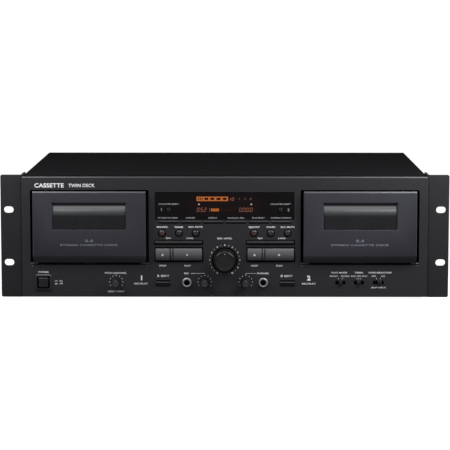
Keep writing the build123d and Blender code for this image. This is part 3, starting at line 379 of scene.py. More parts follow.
# painted reflection: the curved upper part glows by emission in place of the bright room it would mirror: height in mm,
# brightness
PANE_PAINTED_GLARE = [(22.0, 0.0), (22.7, 0.002), (23.75, 0.006), (24.8, 0.012), (25.9, 0.018), (26.9, 0.018), (27.95, 0.012), (28.96, 0.022), (29.96, 0.077), (30.92, 0.127),
              (31.87, 0.165), (32.78, 0.105), (34.0, 0.08)]
M["pane"] = smoked("door_smoked_pane", rgb(34, 35, 37), 0.84, rough=0.42, spec=0.25, grad=(0.0088, 0.0340, [(p, v / 1.2) for p, v in PANE_PAINTED_LIGHT_TONE]), gain=1.2, swirl=0.002,
                   painted_glare=(0.022, 0.034, 0.165, [((z - 22.0) / 12.0, v / 0.165) for z, v in PANE_PAINTED_GLARE]))
M["glass"] = smoked("display_smoked_glass", rgb(16, 13, 14), 0.62, rough=0.07, spec=0.35)
M["ink"] = ink("legend_ink_white", rgb(214, 214, 218))
M["ink_dim"] = ink("legend_ink_grey", rgb(150, 150, 156))
M["ink_soft"] = ink("legend_ink_silver", rgb(118, 120, 128))
M["orange"] = glow("phosphor_orange", (1.0, 0.27, 0.05, 1.0), 3.3)
M["amber"] = glow("phosphor_amber", (1.0, 0.38, 0.24, 1.0), 2.2)
M["red"] = glow("phosphor_red", (0.85, 0.08, 0.04, 1.0), 0.35)
M["rose"] = glow("phosphor_rose", (1.0, 0.45, 0.36, 1.0), 1.4)
M["pale"] = glow("phosphor_pale", (1.0, 0.80, 0.68, 1.0), 4.5)
M["white_ring"] = surf("phono_ring_white", rgb(205, 205, 198), rough=0.45, spec=0.4, mottle=0.05, grain=2200, bump=0.12)
M["red_ring"] = surf("phono_ring_red", rgb(150, 26, 22), rough=0.42, spec=0.4, mottle=0.06, grain=2200, bump=0.12)
# painted shade: a near-black stand-in for the shade in gaps and recesses and on chosen top faces
M["shade"] = surf("painted_shade_black", rgb(9, 9, 10), rough=0.75, spec=0.08, mottle=0.08, grain=2200, grain_amt=0.1, bump=0.3)
M["sight"] = surf("sight_sheet_painted_glow", rgb(150, 152, 152), rough=0.6, spec=0.3, mottle=0.05, grain=1500, bump=0.1)
# painted light: the sheet glows faintly by emission so that it shows through the dark pane as if lit
for n in M["sight"].node_tree.nodes:
    if n.type == "BSDF_PRINCIPLED":
        n.inputs["Emission Color"].default_value = (0.95, 0.97, 1.0, 1.0)
        n.inputs["Emission Strength"].default_value = 0.042


def tube_glass():
    """The display tube's black glass, with a faint red glow round its lit part."""
    t = Tree("display_tube_glass")
    x = t.axis("X")
    z = t.axis("Z")
    dx = t.math("DIVIDE", t.math("ADD", x, 0.0005), 0.045)
    dz = t.math("DIVIDE", t.math("SUBTRACT", z, 0.0352), 0.015)
    r2 = t.math("ADD", t.math("MULTIPLY", dx, dx), t.math("MULTIPLY", dz, dz))
    halo = t.span(r2, 0.15, 1.2, 1.0, 0.0)
    e = t.math("MULTIPLY", halo, t.span(t.noise(120.0, 4.0, 0.6), 0.3, 0.7, 0.5, 1.5))
    b = t.new("ShaderNodeBsdfPrincipled", {"Base Color": t.scale(rgb(26, 20, 20), t.span(t.noise(300.0), 0.3, 0.7, 0.85, 1.15)),
                                           "Roughness": t.span(t.noise(60.0), 0.3, 0.7, 0.12, 0.22), "Emission Color": (0.55, 0.06, 0.02, 1.0),
                                           "Emission Strength": t.math("MULTIPLY", e, 0.045)})
    t.nt.links.new(b.outputs[0], t.out.inputs["Surface"])
    return t.mat


M["tube"] = tube_glass()

SLOT_MATERIAL = {
    "fascia_black": "fascia", "cover_black": "cover", "bracket_black": "bracket", "rear_black": "rear", "chassis_zinc": "zinc",
    "foot_rubber": "rubber", "screw_steel": "screw", "smoked_window": "pane", "socket_body": "socket", "transformer_steel": "iron",
    "board_laminate": "board", "transport_steel": "steel", "motor_steel": "motor", "belt_rubber": "belt", "door_plastic": "door",
    "holder_plastic": "holder", "spindle_plastic": "spindle", "flywheel_brass": "brass", "carriage_steel": "steel",
    "record_key_plastic": "record", "grey_key_plastic": "key", "dark_key_plastic": "bar", "knob_black": "knob",
}
# painted shade: the transport frames and head carriages take the darkened steel
NODE_MATERIAL = {"display_window": "glass", "transport_frames": "plate"}
for side in ("left", "right"):
    NODE_MATERIAL[f"head_carriage_{side}"] = "plate"
    NODE_MATERIAL[f"pause_key_{side}"] = "round"
    NODE_MATERIAL[f"record_mute_key_{side}"] = "round"
node_slot = {s["node"]: s["material_slot"] for s in frame["record"]["subparts"]}


def faces(node, extra, pick):
    """Gives some of a CAD node's polygons other materials: pick(centre in mm, normal) returns an index into extra, or None."""
    o = NODES[node]
    for m in extra:
        o.data.materials.append(M[m])
    for p in o.data.polygons:
        c = p.center
        k = pick((c.x / MM, c.y / MM, c.z / MM), p.normal)
        if k is not None:
            p.material_index = k + 1


def smooth_group():
    """Geometry nodes that shade smooth below an edge angle of 32 degrees."""
    g = bpy.data.node_groups.new("smooth_by_angle", "GeometryNodeTree")
    g.interface.new_socket("Geometry", in_out="INPUT", socket_type="NodeSocketGeometry")
    g.interface.new_socket("Geometry", in_out="OUTPUT", socket_type="NodeSocketGeometry")
    a = g.nodes.new("NodeGroupInput")
    z = g.nodes.new("NodeGroupOutput")
    angle = g.nodes.new("GeometryNodeInputMeshEdgeAngle")
    more = g.nodes.new("FunctionNodeCompare")
    more.data_type = "FLOAT"
    more.operation = "GREATER_THAN"
    more.inputs[1].default_value = math.radians(32)
    faces_on = g.nodes.new("GeometryNodeSetShadeSmooth")
    faces_on.domain = "FACE"
    faces_on.inputs["Shade Smooth"].default_value = True
    sharp = g.nodes.new("GeometryNodeSetShadeSmooth")
    sharp.domain = "EDGE"
    sharp.inputs["Shade Smooth"].default_value = False
    g.links.new(a.outputs[0], faces_on.inputs["Geometry"])
    g.links.new(faces_on.outputs[0], sharp.inputs["Geometry"])
    g.links.new(angle.outputs["Unsigned Angle"], more.inputs[0])
    g.links.new(more.outputs[0], sharp.inputs["Selection"])
    g.links.new(sharp.outputs[0], z.inputs[0])
    return g


SMOOTH = smooth_group()


def soften(o, width, segments=2, angle=38, cad=True):
    """Small real roundings on sharp edges, with shading that keeps flat faces flat."""
    if cad and o.data.has_custom_normals:
        att = o.data.attributes.get("custom_normal")
        if att is not None:
            o.data.attributes.remove(att)
    sharp = o.data.attributes.get("sharp_edge")
    if sharp is not None:
        o.data.attributes.remove(sharp)
    if cad:
        w = o.modifiers.new("weld", "WELD")
        w.merge_threshold = 1e-6
    if width > 0:
        b = o.modifiers.new("rounding", "BEVEL")
        b.width = width * MM
        b.segments = segments
        b.limit_method = "ANGLE"
        b.angle_limit = math.radians(angle)
        b.use_clamp_overlap = True
        b.miter_outer = "MITER_SHARP"
    s = o.modifiers.new("smooth", "NODES")
    s.node_group = SMOOTH
    wn = o.modifiers.new("flat_faces", "WEIGHTED_NORMAL")
    wn.keep_sharp = True
    wn.weight = 80


ROUNDING = {
    "front_panel": 0.22, "top_cover": 0.35, "rack_brackets": 0.35, "bottom_chassis": 0.3, "rear_panel": 0.3,
    "cassette_door_left": 0.25, "cassette_door_right": 0.25, "power_key": 0.2,
}
for n, o in NODES.items():
    o.data.materials.clear()
    o.data.materials.append(M[NODE_MATERIAL.get(n, SLOT_MATERIAL[node_slot[n]])])
    for p in o.data.polygons:
        p.material_index = 0
    if "_key" in n and n not in ROUNDING:
        ROUNDING[n] = 0.16
for n, width in ROUNDING.items():
    soften(NODES[n], width)


# painted shade: the walls of every aperture, the faces set back in the recesses, the flanges behind the keys, the top
# faces of the keys and doors and the fascia's outer top face take a near-black material that stands in for the shade
# there
def shade_faces(node, pick):
    o = NODES[node]
    o.data.materials.append(M["shade"])
    k = len(o.data.materials) - 1
    for p in o.data.polygons:
        c = p.center
        if pick(c.x / MM, c.y / MM, c.z / MM, p.normal):
            p.material_index = k


def panel_pick(x, y, z, n):
    if abs(x) > 216.8 or abs(z) > 63.2:
        return n.z > 0.9 and y > -9.8
    if abs(n.y) < 0.3:
        return y > -10.98
    return y > -10.5


shade_faces("front_panel", panel_pick)
# painted shade on the doors' top faces
for side in ("left", "right"):
    shade_faces(f"cassette_door_{side}", lambda x, y, z, nn: nn.z > 0.9 and z > 49.0)
# painted shade on the key flanges and on the keys' top faces
for n in NODES:
    if n.endswith("_key") or "_key_" in n or n.endswith("_switch"):
        shade_faces(n, lambda x, y, z, nn: y > -7.7 or (nn.z > 0.9 and "record_level" not in n))


# ================================================================ building helpers
def finish_mesh(name, bm, mats, body, smooth=None, merge=1e-6):
    if merge:
        bmesh.ops.remove_doubles(bm, verts=bm.verts, dist=merge)
    bmesh.ops.recalc_face_normals(bm, faces=bm.faces)
    me = bpy.data.meshes.new(name)
    bm.to_mesh(me)
    bm.free()
    for m in mats:
        me.materials.append(M[m])
    o = bpy.data.objects.new(name, me)
    SC.collection.objects.link(o)
    if smooth is not None:
        for p in me.polygons:
            p.use_smooth = True
        s = o.modifiers.new("smooth", "NODES")
        s.node_group = SMOOTH
        if smooth:
            wn = o.modifiers.new("flat_faces", "WEIGHTED_NORMAL")
            wn.keep_sharp = True
            wn.weight = 80
    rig.ride(o, body)
    return o


def add_box(bm, x0, x1, y0, y1, z0, z1, index=0, bevel=0.0):
    """A box in mm; bevel rounds every edge."""
    before = set(bm.faces)
    r = bmesh.ops.create_cube(bm, size=1.0)
    vs = r["verts"]
    for v in vs:
        v.co = Vector(((x0 + x1) / 2 + v.co.x * (x1 - x0), (y0 + y1) / 2 + v.co.y * (y1 - y0), (z0 + z1) / 2 + v.co.z * (z1 - z0))) * MM
    if bevel > 0:
        es = list({e for v in vs for e in v.link_edges})
        bmesh.ops.bevel(bm, geom=es, offset=bevel * MM, segments=2, profile=0.5, affect="EDGES")
    for f in bm.faces:
        if f not in before:
            f.material_index = index
    return bm


def add_prism(bm, pts, y0, y1, index=0):
    """A closed outline of (x, z) points in mm, from y0 (front) to y1 (back)."""
    front = [bm.verts.new(Vector((x, y0, z)) * MM) for x, z in pts]
    back = [bm.verts.new(Vector((x, y1, z)) * MM) for x, z in pts]
    made = [bm.faces.new(front), bm.faces.new(list(reversed(back)))]
    n = len(pts)
    for i in range(n):
        made.append(bm.faces.new([front[i], back[i], back[(i + 1) % n], front[(i + 1) % n]]))
    for f in made:
        f.material_index = index
    return bm


def lathe(bm, x, z, profile, n=96, index=0, flutes=0, at=None):
    """Turns a closed profile of (radius, y, flute depth, material index) about the Y axis through (x, z)."""
    rings = []
    for pt in profile:
        r, y = pt[0], pt[1]
        d = pt[2] if len(pt) > 2 else 0.0
        if r <= 1e-9:
            rings.append([bm.verts.new(Vector((x, y, z)) * MM)])
            continue
        ring = []
        for i in range(n):
            a = 2 * math.pi * i / n
            rr = r - d * (0.5 - 0.5 * math.cos(a * flutes)) ** 1.5 if flutes and d else r
            ring.append(bm.verts.new(Vector((x + rr * math.sin(a), y, z + rr * math.cos(a))) * MM))
        rings.append(ring)
    for k in range(len(rings) - 1):
        a, b = rings[k], rings[k + 1]
        idx = profile[k][3] if len(profile[k]) > 3 else index
        for i in range(n):
            j = (i + 1) % n
            if len(a) == 1 and len(b) == 1:
                continue
            if len(a) == 1:
                f = bm.faces.new([a[0], b[i], b[j]])
            elif len(b) == 1:
                f = bm.faces.new([a[i], b[0], a[j]])
            else:
                f = bm.faces.new([a[i], b[i], b[j], a[j]])
            f.material_index = idx
    return bm


def ring_lathe(bm, x, z, profile, n=72, index=0):
    """A closed loop profile (a solid ring) turned about the Y axis."""
    return lathe(bm, x, z, list(profile) + [profile[0]], n, index)


_letters = {}


def letters(text, weight):
    """A flat outline mesh of the words at font size 1, thickness 1: (verts, faces, lowest x, highest x, lowest y,
    highest y).
    """
    key = (text, weight)
    if key in _letters:
        return _letters[key]
    cu = bpy.data.curves.new("w", "FONT")
    cu.body = text
    cu.size = 1.0
    cu.resolution_u = 3
    cu.offset = weight
    cu.extrude = 0.5
    cu.space_character = 1.04
    o = bpy.data.objects.new("w", cu)
    SC.collection.objects.link(o)
    bpy.context.view_layer.update()
    dg = bpy.context.evaluated_depsgraph_get()
    me = bpy.data.meshes.new_from_object(o.evaluated_get(dg))
    vs = [tuple(v.co) for v in me.vertices]
    fs = [tuple(p.vertices) for p in me.polygons]
    bpy.data.objects.remove(o, do_unlink=True)
    bpy.data.curves.remove(cu)
    bpy.data.meshes.remove(me)
    xs = [v[0] for v in vs]
    # the capital height of the built-in face is found from the letter H
    ys = [v[1] for v in vs]
    out = (vs, fs, min(xs), max(xs), min(ys), max(ys))
    _letters[key] = out
    return out


def add_text(bm, text, x, z, h, width=None, y=-11.0, weight=0.012, align="c", index=0, proud=0.035, flip=False):
    """Words in ink on a plane facing -Y (or +Y when flip): x is the centre (c), left (l) or right (r); z the middle; h the cap height in mm."""
    vs, fs, x0, x1, _, _ = letters(text, weight)
    cap = letters("H", weight)
    c0, c1 = cap[4], cap[5]
    s = h / (c1 - c0)
    sx = s if width is None else width / (x1 - x0)
    w = (x1 - x0) * sx
    left = {"c": x - w / 2, "l": x, "r": x - w}[align]
    made = []
    for vx, vy, vz in vs:
        px = left + (vx - x0) * sx
        pz = z + (vy - (c0 + c1) / 2) * s
        if flip:
            px = 2 * x - px if align == "c" else px
            py = y + (vz + 0.5) * (proud + 0.01) - 0.01
        else:
            py = y - (vz + 0.5) * (proud + 0.01) + 0.01
        made.append(bm.verts.new(Vector((px, py, pz)) * MM))
    for f in fs:
        try:
            face = bm.faces.new([made[i] for i in f])
            face.material_index = index
        except ValueError:
            pass
    return w


_trees = {}


def tree_of(node):
    if node not in _trees:
        me = NODES[node].data
        _trees[node] = BVHTree.FromPolygons([tuple(v.co) for v in me.vertices], [tuple(p.vertices) for p in me.polygons])
    return _trees[node]


def drape(bm, node, proud=0.03, base=-11.0):
    """Moves a thin print onto the node's front, vertex by vertex along Y. The print was made at plane y = base (mm)."""
    tr = tree_of(node)
    for v in bm.verts:
        hit = tr.ray_cast(Vector((v.co.x, -0.2, v.co.z)), Vector((0, 1, 0)))
        if hit[0] is not None:
            front = (base - 0.001) * MM - v.co.y > -0.005 * MM
            v.co.y = hit[0].y - (proud * MM if front else -0.01 * MM)
    return bm


def add_line(bm, x0, z0, x1, z1, t=0.35, y=-11.0, proud=0.035, index=0):
    d = Vector((x1 - x0, z1 - z0)).normalized()
    nx, nz = -d.y * t / 2, d.x * t / 2
    add_prism(bm, [(x0 + nx, z0 + nz), (x1 + nx, z1 + nz), (x1 - nx, z1 - nz), (x0 - nx, z0 - nz)], y - proud, y + 0.01, index)


def add_disc(bm, x, z, r, y=-11.0, proud=0.035, index=0, n=20):
    add_prism(bm, [(x + r * math.sin(2 * math.pi * i / n), z + r * math.cos(2 * math.pi * i / n)) for i in range(n)], y - proud, y + 0.01, index)


def add_ring(bm, x, z, r0, r1, y=-11.0, proud=0.035, index=0, n=28):
    ring_lathe(bm, x, z, [(r0, y - proud), (r1, y - proud), (r1, y + 0.01), (r0, y + 0.01)], n, index)


def polar(x, z, r, deg):
    a = math.radians(deg)
    return x + r * math.sin(a), z + r * math.cos(a)


# ================================================================ printed legends on the fascia
K = 98.7
DECK = {"left": -145.2, "right": 145.2}
bm = bmesh.new()
add_text(bm, "CASSETTE", -188.0, 55.7, 4.4, 31.5, weight=0.020)
add_text(bm, "TWIN DECK", -153.2, 55.6, 3.6, 28.0, weight=0.012)
for k in (0.0, K):
    for word, x, w in (("RECORD", -67.0, 11.6), ("PAUSE", -49.0, 9.0), ("REC MUTE", -31.1, 14.8)):
        add_text(bm, word, x + k, 10.9, 1.75, w, weight=0.02)
    add_text(bm, "REW", -60.3 + k, -1.25, 1.45, 5.2, weight=0.015)
    add_text(bm, "F.FWD", -37.3 + k, -1.25, 1.45, 7.4, weight=0.015)
    add_text(bm, "STOP", -66.5 + k, -31.0, 1.75, 7.4, weight=0.02)
    add_text(bm, "PLAY", -39.7 + k, -31.0, 1.75, 6.9, weight=0.02)
add_text(bm, "REC LEVEL", 0.1, -1.4, 1.75, 16.0, weight=0.018)
# level dial: figures at each tenth, ticks between them
cx, cz = 0.1, -24.8
for i in range(11):
    a = -150 + 30 * i
    px, pz = polar(cx, cz, 16.2, a)
    add_text(bm, str(i), px, pz, 1.75, weight=0.035)
    if i < 10:
        qx, qz = polar(cx, cz, 16.2, a + 15)
        add_disc(bm, qx, qz, 0.33)
# small knobs
for x, z in ((-116.7, -48.7), (-21.5, -48.7), (22.7, -48.7)):
    for i in range(-4, 5):
        px, pz = polar(x, z, 7.2, 30 * i)
        add_disc(bm, px, pz, 0.42)
add_text(bm, "MIC", -41.1, -39.3, 1.7, 4.8, weight=0.018)
add_line(bm, -36.5, -39.3, -21.3, -39.3, 0.32)
add_text(bm, "PHONES", 41.1, -39.3, 1.7, 12.4, weight=0.018)
add_line(bm, 22.5, -39.3, 33.6, -39.3, 0.32)
add_line(bm, 22.7, -39.3, 22.7, -41.2, 0.32)
add_text(bm, "PITCH CONTROL", -117.2, -39.0, 1.8, 23.4, weight=0.018)
add_text(bm, "DECK 1 ONLY", -117.0, -59.0, 1.6, 17.6, weight=0.015)
add_text(bm, "POWER", -194.9, -38.0, 1.8, 10.8, weight=0.018)
add_text(bm, "ON", -176.4, -47.7, 1.5, weight=0.015)
add_text(bm, "OFF", -176.0, -50.6, 1.5, weight=0.015)
add_box(bm, -182.8, -179.9, -11.035, -10.99, -48.0, -47.5)
add_line(bm, -182.8, -50.3, -180.0, -50.3, 0.35)
add_line(bm, -182.8, -51.0, -180.0, -51.0, 0.35)
for x in (-66.4, 66.4):
    add_prism(bm, [(x - 6.3, -42.0), (x - 5.1, -40.6), (x - 3.9, -42.0)], -11.035, -10.99)
    add_box(bm, x - 6.3, x - 3.9, -11.035, -10.99, -43.1, -42.5)
    add_text(bm, "EJECT", x + 2.2, -42.0, 1.8, 8.9, weight=0.018)
add_text(bm, "1", -89.4, -44.3, 5.4, weight=0.05)
add_text(bm, "2", 90.5, -44.3, 5.4, weight=0.05)
add_text(bm, "REC/PLAY", -90.0, -50.5, 1.75, 14.6, weight=0.018)
add_text(bm, "REC/PLAY", 90.6, -50.5, 1.75, 14.8, weight=0.018)
add_text(bm, "PLAY MODE", 123.3, -38.4, 1.7, 16.6, weight=0.018)
add_text(bm, "TIMER", 144.4, -38.4, 1.7, 9.2, weight=0.018)
add_text(bm, "NOISE REDUCTION", 167.0, -38.4, 1.7, 24.2, weight=0.018)
add_text(bm, "SINGLE", 117.2, -42.2, 1.35, 8.4, weight=0.012)
add_text(bm, "DOUBLE", 129.6, -42.2, 1.35, 8.8, weight=0.012)
add_text(bm, "REC", 138.4, -42.2, 1.35, 4.8, weight=0.012)
add_text(bm, "OFF", 144.4, -42.2, 1.35, 4.4, weight=0.012)
add_text(bm, "PLAY", 151.0, -42.2, 1.35, 5.6, weight=0.012)
add_text(bm, "OFF", 160.4, -42.2, 1.35, 4.6, weight=0.012)
add_text(bm, "ON", 170.2, -42.2, 1.35, 3.6, weight=0.012)
add_text(bm, "(PLAY ONLY)", 165.5, -54.6, 1.5, 15.6, weight=0.015)
for x in (124.5, 144.4, 165.4):
    add_line(bm, x - 2.6, -44.0, x - 1.6, -45.6, 0.28)
    add_line(bm, x + 2.6, -44.0, x + 1.6, -45.6, 0.28)
add_line(bm, 144.4, -44.0, 144.4, -45.6, 0.28)
legends = finish_mesh("fascia_legends", bm, ["ink"], "casing")

# on the display window, whose face stands back from the fascia's
bm = bmesh.new()
Y = -10.6
for word, x, w in (("RETURN TO ZERO", -61.0, 21.4), ("DIMMER", -36.6, 10.2), ("REPEAT", -12.6, 9.1), ("PARALLEL REC", 12.1, 17.6),
                   ("DUB START", 36.3, 13.4), ("INTRO CHECK", 60.8, 22.0)):
    add_text(bm, word, x, 20.75, 1.45, w, y=Y, weight=0.015)
for x in (-59.9, 59.9):
    add_text(bm, "COUNTER RESET", x, 35.6, 1.55, 21.8, y=Y, weight=0.015)
add_text(bm, "1", -67.9, 29.5, 2.9, y=Y, weight=0.012)
add_text(bm, "2", 68.4, 29.5, 2.9, y=Y, weight=0.012)
finish_mesh("window_legends", bm, ["ink_dim"], "casing")

# on the doors
for side, cx in DECK.items():
    bm = bmesh.new()
    add_text(bm, "STEREO CASSETTE DECK", cx, -8.0, 2.0, 62.0, y=-16.0, weight=0.008)
    for s in (-1, 1):
        add_ring(bm, cx + s * 2.7, -3.4, 0.75, 1.35, y=-16.0)
    add_line(bm, cx - 2.7, -4.6, cx + 2.7, -4.6, 0.3, y=-16.0)
    add_line(bm, cx - 4.6, -4.6, cx - 3.2, -4.6, 0.3, y=-16.0)
    finish_mesh(f"door_legend_{side}", bm, ["ink_soft"], f"door_{side}")

# on the keys
for side, k in (("left", 0.0), ("right", K)):
    bm = bmesh.new()
    x = -66.7 + k
    add_prism(bm, [(x - 0.95, -19.95), (x + 0.95, -19.95), (x + 0.95, -18.05), (x - 0.95, -18.05)], -11.03, -10.99)
    drape(bm, f"stop_key_{side}")
    finish_mesh(f"stop_mark_{side}", bm, ["ink"], f"stop_key_{side}")
    bm = bmesh.new()
    x = -40.2 + k
    add_prism(bm, [(x - 1.1, -20.1), (x + 1.3, -19.0), (x - 1.1, -17.9)], -11.03, -10.99)
    drape(bm, f"play_key_{side}")
    finish_mesh(f"play_mark_{side}", bm, ["ink"], f"play_key_{side}")
    for name, xx, s in (("rewind", -60.4 + k, -1), ("fast_forward", -37.6 + k, 1)):
        bm = bmesh.new()
        for d in (-1.05, 1.05):
            add_prism(bm, [(xx + d - s * 0.95, -6.75), (xx + d + s * 0.95, -7.3), (xx + d - s * 0.95, -7.85)], -11.03, -10.99)
        drape(bm, f"{name}_key_{side}")
        finish_mesh(f"{name}_mark_{side}", bm, ["ink_dim"], f"{name}_key_{side}")


# ================================================================ knobs
def knob_profile(r0, r1, front, back, dish, flute, shaft_r, skirt=None):
    """From the centre of the face out over the rim, down the fluted side to the base and along the shaft."""
    p = [(0.0, front + dish, 0, 1)]
    p += [(r1 * 0.45, front + dish, 0, 1), (r1 - 2.0 * dish - 1.5 * (r1 > 8) - 0.35, front + dish, 0, 1)]
    p += [(r1 - 1.45 * (r1 > 8) - 0.35, front + dish * 0.5, 0, 2), (r1 - 1.25 * (r1 > 8) - 0.3, front, 0, 2)]
    edge = 1.6 if r1 > 8 else 0.45
    for i in range(0, 6):
        a = math.pi / 2 * i / 5
        p.append((r1 - edge + edge * math.sin(a), front + edge - edge * math.cos(a), flute * (i / 5) ** 2 * 0.6, 2 if i < 4 else 0))
    length = back - front
    p.append((r1 + (r0 - r1) * 0.15, front + length * 0.15, flute, 0))
    p.append((r1 + (r0 - r1) * 0.85, front + length * 0.82, flute, 0))
    p.append((r0, front + length * 0.88, 0, 0))
    p.append((r0, back, 0, 0))
    p.append((shaft_r, back, 0, 0))
    p.append((shaft_r, -1.0, 0, 0))
    p.append((0.0, -1.0, 0, 0))
    return p


bm = bmesh.new()
lathe(bm, 0.1, -24.8, knob_profile(12.5, 11.1, -26.0, -10.0, 0.25, 0.22, 3.0), n=288, flutes=48)
big = finish_mesh("record_level_knob_fluted", bm, ["knob", "knob_face", "knob_rim"], "record_level_knob", smooth=True)
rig.slot(big, "knob_black")
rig.replaces(big, "record_level_knob")
bm = bmesh.new()
add_disc(bm, 0.2, -16.6, 0.42, y=-25.75, proud=0.06)
finish_mesh("record_level_pointer", bm, ["ink"], "record_level_knob")
for name, (x, z) in {"pitch_knob": (-116.7, -48.7), "mic_level_knob": (-21.5, -48.7), "phones_level_knob": (22.7, -48.7)}.items():
    bm = bmesh.new()
    lathe(bm, x, z, knob_profile(4.5, 4.15, -22.0, -11.3, 0.12, 0.16, 2.0), n=144, flutes=24)
    o = finish_mesh(f"{name}_fluted", bm, ["knob", "knob_cap", "knob_rim"], name, smooth=True)
    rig.slot(o, "knob_black")
    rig.replaces(o, name)
    bm = bmesh.new()
    add_box(bm, x - 0.22, x + 0.22, -21.93, -21.8, z + 1.2, z + 3.3, bevel=0.04)
    finish_mesh(f"{name}_pointer", bm, ["ink_dim"], name)

# grip ridges on the slide handles
for name, x in (("play_mode_switch", 124.5), ("timer_switch", 144.4), ("noise_reduction_switch", 166.9)):
    bm = bmesh.new()
    for d in (-1.1, 0.0, 1.1):
        add_prism(bm, [(x + d - 0.28, -50.8), (x + d + 0.28, -50.8), (x + d + 0.28, -47.6), (x + d - 0.28, -47.6)], -12.85, -12.55)
    o = finish_mesh(f"{name}_grip", bm, ["bar"], name)
    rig.slot(o, "dark_key_plastic")

# small domed stops on the fascia, under the lower corners of the door openings
bm = bmesh.new()
for x in (-206.9, -83.0, 83.0, 206.9):
    lathe(bm, x, -31.05, [(0.0, -11.34, 0, 0), (0.4, -11.31, 0, 0), (0.7, -11.2, 0, 0), (0.85, -11.0, 0, 0), (0.85, -10.9, 0, 0), (0.0, -10.9, 0, 0)], n=32)
finish_mesh("door_stops", bm, ["key"], "casing", smooth=True)

# ================================================================ jacks and rear sockets
for name, x in (("mic", -40.65), ("phones", 41.5)):
    bm = bmesh.new()
    z = -49.1
    prof = [(3.72, -12.62), (3.8, -12.9), (3.98, -13.12), (4.25, -13.2), (4.55, -13.08), (4.82, -12.75), (4.95, -12.3), (4.95, -11.03), (4.52, -11.03), (4.52, -12.62)]
    ring_lathe(bm, x, z, prof, n=96)
    ring = finish_mesh(f"{name}_jack_nut", bm, ["nut"], "casing", smooth=False)
    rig.slot(ring, "socket_body")
    # tip and sleeve springs inside the bore
    bm = bmesh.new()
    for s, y0, y1 in ((1, 2.0, 7.0), (-1, 4.0, 9.0)):
        add_prism(bm, [(x + s * 2.3, z - 0.8), (x + s * 3.15, z - 0.8), (x + s * 3.15, z + 0.8), (x + s * 2.3, z + 0.8)], y0, y1)
    finish_mesh(f"{name}_jack_springs", bm, ["gold"], "casing")

RCA = [(x, z) for x in (110.0, 128.0, 158.0, 176.0) for z in (30.0, 14.0)]


def socket_pick(c, nrm):
    x, y, z = c
    if y < -10.9:
        return 0
    for a, b in RCA:
        r = math.hypot(x - a, z - b)
        if r < 4.25 and y > 289.0:
            return 0 if r > 1.8 else 1
    if abs(x + 168) < 9 and abs(z + 20) < 5 and 272 < y < 288.5 and (abs(abs(x + 168) - 7) < 1.2 or abs(x + 168) < 1.2):
        return 0
    if abs(x - 40) > 12.5 and abs(x - 40) < 20 and abs(z - 20) < 7:
        return 0
    return None


faces("sockets", ["chrome", "gold"], socket_pick)
for side, cx in DECK.items():
    def head_pick(c, nrm, cx=cx):
        x, y, z = c
        if math.hypot(x - cx - 34.0, z + 26.28) < 5.6 and y < 4.7:
            return 1
        if z > -23.5 and abs(x - cx) < 6.3 or (abs(x - cx + 17.0) < 3.1 and z > -23.5):
            return 0
        return None


    faces(f"head_carriage_{side}", ["chrome", "rubber"], head_pick)

bm = bmesh.new()
for x, z in RCA:
    ring_lathe(bm, x, z, [(4.2, 291.25), (6.3, 291.25), (6.6, 291.0), (6.6, 290.1), (6.4, 289.65), (4.2, 289.65)], n=64, index=0 if z > 20 else 1)
finish_mesh("phono_rings", bm, ["white_ring", "red_ring"], "casing", smooth=False)

# rear legends
bm = bmesh.new()
R = 289.6


def back_text(word, x, z, h, width=None, weight=0.012):
    add_text(bm, word, x, z, h, width, y=R, weight=weight, flip=True)


for x, word in ((119.0, "LINE IN"), (167.0, "LINE OUT")):
    back_text(word, x, 43.5, 3.0)
for x, word in ((110.0, "1"), (128.0, "2"), (158.0, "1"), (176.0, "2")):
    back_text(word, x, 38.6, 2.4)
for x in (143.0,):
    back_text("L", x, 30.0, 2.6)
    back_text("R", x, 14.0, 2.6)
back_text("REMOTE", 40.0, 30.5, 2.6)
back_text("AC IN", -168.0, -4.0, 3.0)
for a, b in ((101.0, 137.0), (149.0, 185.0)):
    add_line(bm, a, 48.2, b, 48.2, 0.35, y=R + 0.025)
    add_line(bm, a, 48.2, a, 5.0, 0.35, y=R + 0.025)
    add_line(bm, b, 48.2, b, 5.0, 0.35, y=R + 0.025)
    add_line(bm, a, 5.0, b, 5.0, 0.35, y=R + 0.025)
finish_mesh("rear_legends", bm, ["ink"], "casing")

# ================================================================ display tube and its lit marks
bm = bmesh.new()
add_box(bm, -47.0, 47.0, -7.0, -2.6, 22.2, 47.6, bevel=0.5)
tube = finish_mesh("display_tube", bm, ["tube"], "casing", smooth=True)

SEG = {"0": "abcdef", "1": "bc", "2": "abged", "3": "abgcd", "4": "fgbc", "5": "afgcd", "6": "afgedc", "7": "abc", "8": "abcdefg", "9": "abcdfg"}
YD = -7.0


def add_digit(bm, ch, x, z, w, h, index):
    """Seven-segment figure, lower left corner at (x, z)."""
    t = 0.42
    lean = 0.12

    def P(u, v):
        return (x + u + lean * v, z + v)

    bars = {
        "a": ((0.15 * w, h), (0.85 * w, h)), "g": ((0.15 * w, h / 2), (0.85 * w, h / 2)), "d": ((0.15 * w, 0), (0.85 * w, 0)),
        "f": ((0, h * 0.56), (0, h * 0.94)), "b": ((w, h * 0.56), (w, h * 0.94)), "e": ((0, h * 0.06), (0, h * 0.44)), "c": ((w, h * 0.06), (w, h * 0.44)),
    }
    for s in SEG[ch]:
        (u0, v0), (u1, v1) = bars[s]
        (x0, z0), (x1, z1) = P(u0, v0), P(u1, v1)
        d = Vector((x1 - x0, z1 - z0)).normalized()
        n = Vector((-d.y, d.x)) * t / 2
        e = d * t / 2
        pts = [(x0 - e.x, z0 - e.y), (x0 + n.x, z0 + n.y), (x1 + n.x, z1 + n.y), (x1 + e.x, z1 + e.y), (x1 - n.x, z1 - n.y), (x0 - n.x, z0 - n.y)]
        add_prism(bm, pts, YD - 0.06, YD - 0.005, index)


bm = bmesh.new()
DZ = -0.5
